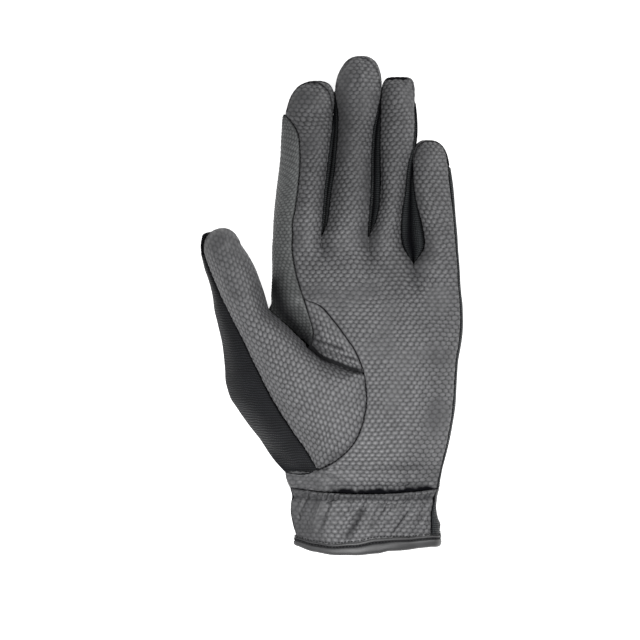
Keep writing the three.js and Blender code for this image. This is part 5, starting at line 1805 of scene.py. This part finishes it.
@dataclass(frozen=True)
class Finish:
    """Look of one material.

    Attributes:
        name: Name of the material.
        weave: Kind of surface.
        low: Colour in the grooves of the pebbles and ribs, darker as painted shade; in a plain finish, the
            darker end of its random tone.
        high: Colour on the raised parts; in a plain finish, the lighter end of its random tone.
        seam: Near-black colour that the shade mask blends to: dark thread at the seams, and painted shade in
            seams, folds, creases, gaps and the lining.
        roughness: Roughness of the raised parts.
        specular: Strength of the reflections.
        bump: Depth of the fine relief in metres.
        rib: Spacing of the ribs in millimetres.
        column: Spacing of the columns in millimetres.
        cross: Strength of the columns.
        sheen: Strength of the soft edge light of fibres.
    """

    name: str
    weave: Weave
    low: tuple[float, float, float]
    high: tuple[float, float, float]
    seam: tuple[float, float, float] = (0.004, 0.004, 0.005)
    roughness: float = 0.55
    specular: float = 0.4
    bump: float = 0.00012
    rib: float = 1.1
    column: float = 0.9
    cross: float = 0.4
    sheen: float = 0.0

    def material(self, shared: SharedEffects) -> bpy.types.Material:
        """Build the material.

        Args:
            shared: The shader groups.

        Returns:
            The finished material.
        """
        made = bpy.data.materials.new(self.name)
        made.use_nodes = True
        made.node_tree.nodes.clear()
        tree = Tree(made.node_tree)
        flat = tree.add("ShaderNodeUVMap", uv_map="Flat").outputs[0]
        place = tree.add("ShaderNodeTexCoord").outputs["Object"]
        mottle = tree.add("ShaderNodeGroup", node_tree=shared.mottle)
        tree.link(place, mottle.inputs["Place"])
        tone, grain = mottle.outputs["Tone"], mottle.outputs["Grain"]
        if self.weave is Weave.PEBBLED:
            group = tree.add("ShaderNodeGroup", node_tree=shared.pebbles)
            tree.link(flat, group.inputs["Flat"])
            kept = tree.math("SUBTRACT", 1.0, self.value(tree, "pressed"))
            fine = tree.math("MULTIPLY", group.outputs[0], kept)
            level = tree.math("MULTIPLY_ADD", self.value(tree, "pressed"), 0.55, fine)
            broad = tree.math("MULTIPLY", self.value(tree, "relief"), 0.25)
            relief = tree.math("MULTIPLY_ADD", level, 0.75, broad)
            fleck = tree.noise(place, 330.0, 1.0)
        elif self.weave is Weave.RIBBED:
            group = tree.add("ShaderNodeGroup", node_tree=shared.rows)
            for label, value in (("Rib", self.rib), ("Column", self.column), ("Cross", self.cross)):
                group.inputs[label].default_value = value
            tree.link(flat, group.inputs["Flat"])
            relief = group.outputs[0]
        else:
            relief = tree.ramp(tone, 0.3, 0.7)
        if self.weave is not Weave.PEBBLED:
            fleck = tree.noise(place, 120.0, 1.0)
        # Grooves of the pebbles and ribs take the low colour as painted shade.
        colour = tree.blend(relief, (*self.low, 1), (*self.high, 1))
        light = tree.ramp(tone, 0.3, 0.7, 0.86, 1.12)
        speck = tree.ramp(grain, 0.2, 0.8, 0.9, 1.1)
        scale = tree.math("MULTIPLY", light, speck)
        scale = tree.math("MULTIPLY", scale, tree.ramp(fleck, 0.3, 0.7, 0.84, 1.16))
        toned = tree.add("ShaderNodeVectorMath", {0: colour}, operation="SCALE")
        tree.link(scale, toned.inputs["Scale"])
        # The shade mask blends the colour towards the seam colour, for painted shade and dark seams, and dims
        # reflections and sheen with it.
        shade = self.value(tree, "shade")
        lit = tree.math("SUBTRACT", 1.0, shade)
        colour = tree.blend(shade, toned.outputs[0], (*self.seam, 1))
        rough = tree.math("ADD", tree.ramp(relief, 0.0, 1.0, 0.12, 0.0),
                          tree.ramp(grain, 0.2, 0.8, self.roughness - 0.05, self.roughness + 0.07))
        rough = tree.math("MAXIMUM", rough, tree.math("MULTIPLY", shade, 0.95))
        height = tree.math("MULTIPLY_ADD", grain, 0.22, relief)
        bump = tree.add("ShaderNodeBump", {"Height": height, "Strength": 1.0, "Distance": self.bump})
        shader = tree.add("ShaderNodeBsdfPrincipled", {
            "Base Color": colour, "Roughness": rough, "Normal": bump.outputs[0],
            "Specular IOR Level": tree.math("MULTIPLY", lit, self.specular),
            "Sheen Weight": tree.math("MULTIPLY", lit, self.sheen), "Sheen Roughness": 0.4})
        tree.add("ShaderNodeOutputMaterial", {0: shader.outputs[0]})
        return made

    @staticmethod
    def value(tree: Tree, name: str) -> Socket:
        """Return a mask of the mesh."""
        return tree.add("ShaderNodeAttribute", attribute_name=name).outputs["Fac"]


# The low colours of the pebbled and ribbed finishes hold painted shade in the grooves.
PEBBLED_LEATHER = Finish("pebbled_leather", Weave.PEBBLED, (0.021, 0.021, 0.0225), (0.136, 0.136, 0.141),
                         roughness=0.46, specular=0.5, bump=0.00018)
SIDE_LEATHER = Finish("side_leather", Weave.PEBBLED, (0.026, 0.0275, 0.0275), (0.106, 0.11, 0.11),
                      roughness=0.5, specular=0.45, bump=0.00012)
KNIT = Finish("stretch_knit", Weave.RIBBED, (0.006, 0.007, 0.008), (0.046, 0.05, 0.052), roughness=0.8,
              specular=0.2, bump=0.00025, rib=0.9, column=0.8, cross=0.7, sheen=0.15)
MESH = Finish("ribbed_mesh", Weave.RIBBED, (0.0025, 0.0028, 0.0035), (0.013, 0.014, 0.0165), roughness=0.78,
              specular=0.25, bump=0.0003, rib=1.14, column=1.0, cross=0.5, sheen=0.1)
SMOOTH_LEATHER = Finish("smooth_leather", Weave.PLAIN, (0.03, 0.03, 0.031), (0.046, 0.046, 0.0475),
                        roughness=0.42, specular=0.5, bump=0.00005)
THREAD = Finish("thread", Weave.PLAIN, (0.006, 0.006, 0.007), (0.014, 0.014, 0.015), roughness=0.6,
                bump=0.00002)


@dataclass
class StitchRun:
    """A row of stitches along a line on the glove.

    Attributes:
        name: Name of the piece.
        slot: Material slot of the record; not used.
        lines: Points of each line in millimetres.
        pitch: Spacing of the stitches in millimetres.
        length: Length of a stitch in millimetres.
        radius: Half the thread's width in millimetres.
    """

    name: str
    slot: Slot
    lines: list[Array]
    pitch: float = 2.0
    length: float = 1.3
    radius: float = 0.22

    def tree(self, material: bpy.types.Material) -> tuple[bpy.types.NodeTree, dict[str, str]]:
        """Build the geometry nodes that lay the stitches.

        Args:
            material: Material of the thread.

        Returns:
            The tree, and the identifier of each of its sizes.
        """
        group = bpy.data.node_groups.new("stitches_" + self.name, "GeometryNodeTree")
        group.interface.new_socket("Geometry", in_out="INPUT", socket_type="NodeSocketGeometry")
        names = {}
        for label in ("Pitch", "Length", "Radius"):
            socket = group.interface.new_socket(label, in_out="INPUT", socket_type="NodeSocketFloat")
            names[label] = socket.identifier
        group.interface.new_socket("Geometry", in_out="OUTPUT", socket_type="NodeSocketGeometry")
        tree = Tree(group)
        source, result = tree.add("NodeGroupInput"), tree.add("NodeGroupOutput")
        curve = tree.add("GeometryNodeMeshToCurve", {0: source.outputs["Geometry"]})
        points = tree.add("GeometryNodeCurveToPoints", {"Curve": curve.outputs[0]}, mode="LENGTH")
        tree.link(source.outputs["Pitch"], points.inputs["Length"])
        stitch = tree.add("GeometryNodeMeshUVSphere", {"Segments": 8, "Rings": 6, "Radius": 1.0})
        turn = tree.add("FunctionNodeAlignRotationToVector", {"Vector": points.outputs["Tangent"]}, axis="X")
        size = tree.add("ShaderNodeCombineXYZ")
        half = tree.math("MULTIPLY", source.outputs["Length"], 0.5)
        tree.link(half, size.inputs[0])
        for k in (1, 2):
            tree.link(source.outputs["Radius"], size.inputs[k])
        placed = tree.add("GeometryNodeInstanceOnPoints", {
            "Points": points.outputs[0], "Instance": stitch.outputs[0],
            "Rotation": turn.outputs[0], "Scale": size.outputs[0]})
        real = tree.add("GeometryNodeRealizeInstances", {0: placed.outputs[0]})
        shaded = tree.add("GeometryNodeSetShadeSmooth", {0: real.outputs[0]})
        finish = tree.add("GeometryNodeSetMaterial", {0: shaded.outputs[0], "Material": material})
        tree.link(finish.outputs[0], result.inputs[0])
        return group, names

    def build(self, material: bpy.types.Material) -> bpy.types.Object:
        """Build the stitches.

        Args:
            material: Material of the thread.

        Returns:
            One plain mesh object.
        """
        mesh = bpy.data.meshes.new(self.name + "_line")
        points, edges = [], []
        for line in self.lines:
            start = len(points)
            points += ((line - MIDDLE) * MM).tolist()
            edges += [(start + i, start + i + 1) for i in range(len(line) - 1)]
        mesh.from_pydata(points, edges, [])
        line_object = in_scene(self.name + "_line", mesh)
        group, names = self.tree(material)
        modifier = line_object.modifiers.new("stitches", "NODES")
        modifier.node_group = group
        for label, value in (("Pitch", self.pitch), ("Length", self.length), ("Radius", self.radius)):
            modifier[names[label]] = value * MM
        graph = bpy.context.evaluated_depsgraph_get()
        made = bpy.data.meshes.new_from_object(line_object.evaluated_get(graph))
        made.name = self.name
        piece = in_scene(self.name, made)
        bpy.data.objects.remove(line_object)
        LOG.info("%s: %d faces", self.name, len(made.polygons))
        return piece


@dataclass
class Studio:
    """Pale floor, soft lights and the camera above the palm.

    Attributes:
        centre: Where the camera looks, in metres.
        width: Width of the picture in metres at the glove.
        distance: Height of the camera in metres.
        focus: Height at which the picture has that width.
        half: Half the floor's side.
        gap: How far the floor lies below the glove.
    """

    centre: tuple[float, float] = (-0.00538, -0.00731)
    width: float = 0.2931
    distance: float = 1.6
    focus: float = 0.015
    half: float = 3.0
    gap: float = 0.0002

    def build(self) -> None:
        """Make the floor, the lights and the camera."""
        mesh = bpy.data.meshes.new("floor")
        corners = [(x * self.half, y * self.half, -self.gap) for x, y in ((-1, -1), (1, -1), (1, 1), (-1, 1))]
        mesh.from_pydata(corners, [], [(0, 1, 2, 3)])
        floor = in_scene("floor", mesh)
        paper = bpy.data.materials.new("pale_paper")
        paper.use_nodes = True
        shader = paper.node_tree.nodes["Principled BSDF"]
        shader.inputs["Base Color"].default_value = (0.85, 0.85, 0.85, 1)
        shader.inputs["Roughness"].default_value = 0.9
        shader.inputs["Specular IOR Level"].default_value = 0.0
        shader.inputs["Emission Color"].default_value = (1, 1, 1, 1)
        glow = Tree(paper.node_tree)
        seen = glow.add("ShaderNodeLightPath").outputs["Is Camera Ray"]
        glow.link(glow.ramp(seen, 0.0, 1.0, 0.62, 0.88), shader.inputs["Emission Strength"])
        mesh.materials.append(paper)
        world = bpy.data.worlds.new("studio")
        bpy.context.scene.world = world
        world.use_nodes = True
        sky = Tree(world.node_tree)
        seen = sky.add("ShaderNodeLightPath").outputs["Is Camera Ray"]
        background = world.node_tree.nodes["Background"]
        background.inputs[0].default_value = (1, 1, 1, 1)
        sky.link(sky.ramp(seen, 0.0, 1.0, 0.22, 1.0), background.inputs[1])
        self.lamp("key", (0.5, 0.4, 0.5), (0.0, -0.03, 0.0), 0.3, 3.6)
        self.lamp("fill", (-0.03, -0.13, 0.26), (-0.02, -0.09, 0.0), 0.2, 1.0)
        camera = bpy.data.cameras.new("camera")
        camera.sensor_width = 36.0
        camera.lens = camera.sensor_width / 2 / (self.width / 2 / (self.distance - self.focus))
        camera.clip_start, camera.clip_end = 0.01, 20
        viewer = in_scene("camera", camera)
        viewer.location = (*self.centre, self.distance)
        bpy.context.scene.camera = viewer
        settings = bpy.context.scene.view_settings
        settings.view_transform = "Standard"
        settings.look = "None"

    @staticmethod
    def lamp(name: str, place: tuple[float, float, float], target: tuple[float, float, float], size: float,
             power: float) -> None:
        """Add a square soft light.

        Args:
            name: Name of the light.
            place: Where it hangs, in metres.
            target: Where it points.
            size: Length of its side.
            power: Watts.
        """
        light = bpy.data.lights.new(name, "AREA")
        light.shape, light.size, light.energy = "SQUARE", size, power
        lamp = in_scene(name, light)
        lamp.location = place
        lamp.rotation_mode = "QUATERNION"
        lamp.rotation_quaternion = (Vector(target) - Vector(place)).to_track_quat("-Z", "Y")
        lamp.visible_camera = False


class Wardrobe:
    """The finishes, each made once, and the dressing of a piece with them."""

    def __init__(self) -> None:
        """Make the materials."""
        shared = SharedEffects()
        self.thread = THREAD.material(shared)
        self.side = SIDE_LEATHER.material(shared)
        self.finishes = {
            Slot.EMBOSSED: PEBBLED_LEATHER.material(shared),
            Slot.KNIT: KNIT.material(shared),
            Slot.MESH: MESH.material(shared),
            Slot.SMOOTH: SMOOTH_LEATHER.material(shared),
        }

    def dress(self, panel: Panel) -> None:
        """Build a panel, give it its finish and let it stand for its solid.

        Args:
            panel: The panel.
        """
        piece = panel.build()
        on_side = panel.node == "index_side_panel"
        piece.data.materials.append(self.side if on_side else self.finishes[panel.slot])
        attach(piece, "root")
        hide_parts(panel.node)

    def sew(self, run: StitchRun) -> None:
        """Lay a row of stitches.

        Args:
            run: The stitches.
        """
        piece = run.build(self.thread)
        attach(piece, "root")


@dataclass
class Hand:
    """Palm side, back, outer side of the index finger, and the bands between the fingers.

    Attributes:
        emboss: Height of the palm's embossing in millimetres.
        side_emboss: Height of the finer embossing on the index finger's side.
        wall: Thickness of the leather.
        knit: Thickness of the knit.
    """

    emboss: float = 0.42
    side_emboss: float = 0.3
    wall: float = 0.8
    knit: float = 0.7

    def palm(self) -> Panel:
        """Return the palm side with the finger fronts."""
        return Panel("palm_side", "palm_panel", Slot.EMBOSSED, palm_patches(), self.wall, self.emboss, 3,
                     swell=palm_swell, edge_roll=0.22, shade=palm_shade, pressed=palm_pressed, slack=1.3)

    def back(self) -> Panel:
        """Return the back of the hand with the finger backs."""
        return Panel("hand_back", "back_panel", Slot.KNIT, back_patches(), self.knit, seed=5, edge_roll=0.3)

    def index_side(self) -> Panel:
        """Return the outer side of the index finger."""
        return Panel("index_outer_side", "index_side_panel", Slot.EMBOSSED, [index_side_patch()], self.wall,
                     self.side_emboss, 7, shade=side_shade)

    def bands(self) -> list[Panel]:
        """Return the three bands between the fingers."""
        return [Panel(f"{first}_{second}_band", f"{first}_{second}_fourchette", Slot.KNIT,
                      [band_patch(first, second)], self.knit, seed=11 + k, edge_roll=0.2, rough=0.05,
                      shade=band_shade)
                for k, (first, second) in enumerate(zip(NAMES[:-1], NAMES[1:]))]

    def seam(self) -> StitchRun:
        """Return the stitches between the index finger's front and its outer side."""
        finger = FINGERS["index"].rows[1:9, [FXL, FY, FZL]]
        rows = np.concatenate([HAND[SIDE_ROW:ROOT_ROW + 1, [XL, YL, ZL]], finger])[:, None]
        line = through(rows, [8] * (len(rows) - 1))[:, 0]
        return StitchRun("index_seam_stitches", Slot.EMBOSSED, [line], 1.7, 1.1, 0.24)

    def build(self, wardrobe: Wardrobe) -> None:
        """Build and dress every panel of the hand.

        Args:
            wardrobe: The finishes.
        """
        for panel in (self.palm(), self.back(), self.index_side(), *self.bands()):
            wardrobe.dress(panel)
        wardrobe.sew(self.seam())


@dataclass
class Thumb:
    """Front of the thumb with the ball of the hand, its back, and its main seam.

    Attributes:
        emboss: Height of the embossing in millimetres.
        wall: Thickness of the leather.
        mesh: Thickness of the mesh.
        lift: How far the seam's stitches stand off the cut line.
    """

    emboss: float = 0.4
    wall: float = 0.8
    mesh: float = 0.7
    lift: float = 0.05

    def front(self) -> Panel:
        """Return the front of the thumb with the web above the fold."""
        return Panel("thumb_front", "thumb_front_panel", Slot.EMBOSSED, thumb_front_patches(), self.wall,
                     self.emboss, 13, swell=thumb_swell, shade=thumb_shade, pressed=thumb_pressed)

    def back(self) -> Panel:
        """Return the back of the thumb."""
        return Panel("thumb_back", "thumb_back_panel", Slot.MESH, [thumb_back_patch()], self.mesh, seed=17,
                     edge_roll=0.35)

    def seam(self) -> StitchRun:
        """Return the stitches of the seam round the ball of the thumb."""
        rows = HAND[THUMB_ROW:FOLD_ROW + 1, [XL, YL, ZL]][:, None]
        line = through(rows, [8] * (len(rows) - 1))[:, 0] - [0, 0, self.lift]
        return StitchRun("thumb_seam_stitches", Slot.EMBOSSED, [line], 1.7, 1.15, 0.26)

    def build(self, wardrobe: Wardrobe) -> None:
        """Build and dress the thumb.

        Args:
            wardrobe: The finishes.
        """
        wardrobe.dress(self.front())
        wardrobe.dress(self.back())
        wardrobe.sew(self.seam())


@dataclass
class Cuff:
    """Gathered band, back band, gusset and the bound hem.

    Attributes:
        emboss: Height of the embossing in millimetres.
        wall: Thickness of the leather.
        upper: Distance of the upper row of stitches from the hem.
        groove: Distance of the lower row from the hem.
    """

    emboss: float = 0.5
    wall: float = 0.8
    upper: float = 5.8
    groove: float = 3.3

    def band(self) -> Panel:
        """Return the gathered band on the palm side."""
        creases = (
            Crease((7.8, -105.5), (14.2, -94.4), 2.6, 1.7),
            Crease((28.4, -104.0), (35.3, -94.4), 0.45, 0.7),
            Crease((23.8, -94.4), (26.1, -89.3), 0.45, 0.6),
            Crease((17.5, -103.0), (20.5, -97.0), 0.8, 0.4),
            Crease((-14.6, -99.0), (-14.8, -95.3), 0.4, 0.5),
            Crease((-2.0, -90.6), (4.0, -87.5), 0.6, 0.6),
            Crease((40.5, -103.0), (42.5, -96.0), 0.9, 0.4),
        )
        return Panel("cuff_band", "cuff_palm_band", Slot.EMBOSSED, [cuff_palm_patch()], self.wall,
                     self.emboss, 19, creases, cuff_swell, shade=cuff_shade, pressed=cuff_pressed, slack=1.8)

    def back(self) -> Panel:
        """Return the band on the back."""
        return Panel("cuff_back", "cuff_back_band", Slot.SMOOTH, [cuff_back_patch()], self.wall, seed=23,
                     edge_roll=0.3)

    def gusset(self) -> Panel:
        """Return the triangular insert."""
        return Panel("cuff_insert", "cuff_gusset", Slot.KNIT, [gusset_patch()], 0.7, seed=29, edge_roll=0.3,
                     rough=0.04)

    def binding(self) -> Panel:
        """Return the folded strip round the hem."""
        return Panel("hem_strip", "hem_binding", Slot.SMOOTH, [binding_patch()], 0.0, seed=31, rough=0.22,
                     shade=hem_shade)

    def stitches(self) -> StitchRun:
        """Return the two rows of stitches above the hem."""
        lines = [hem_line(-self.upper, 0.5), hem_line(-self.groove, 0.8)]
        return StitchRun("hem_stitches", Slot.SMOOTH, lines, 1.5, 1.0, 0.27)

    def build(self, wardrobe: Wardrobe) -> None:
        """Build and dress the cuff.

        Args:
            wardrobe: The finishes.
        """
        for panel in (self.band(), self.back(), self.gusset(), self.binding()):
            wardrobe.dress(panel)
        wardrobe.sew(self.stitches())


def main() -> None:
    """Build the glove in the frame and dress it."""
    logging.basicConfig(level=logging.INFO, format="%(message)s")
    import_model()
    wardrobe = Wardrobe()
    for assembly in (Hand(), Thumb(), Cuff()):
        LOG.info("%s", type(assembly).__name__)
        assembly.build(wardrobe)
    Studio().build()


if __name__ == "__main__":
    main()
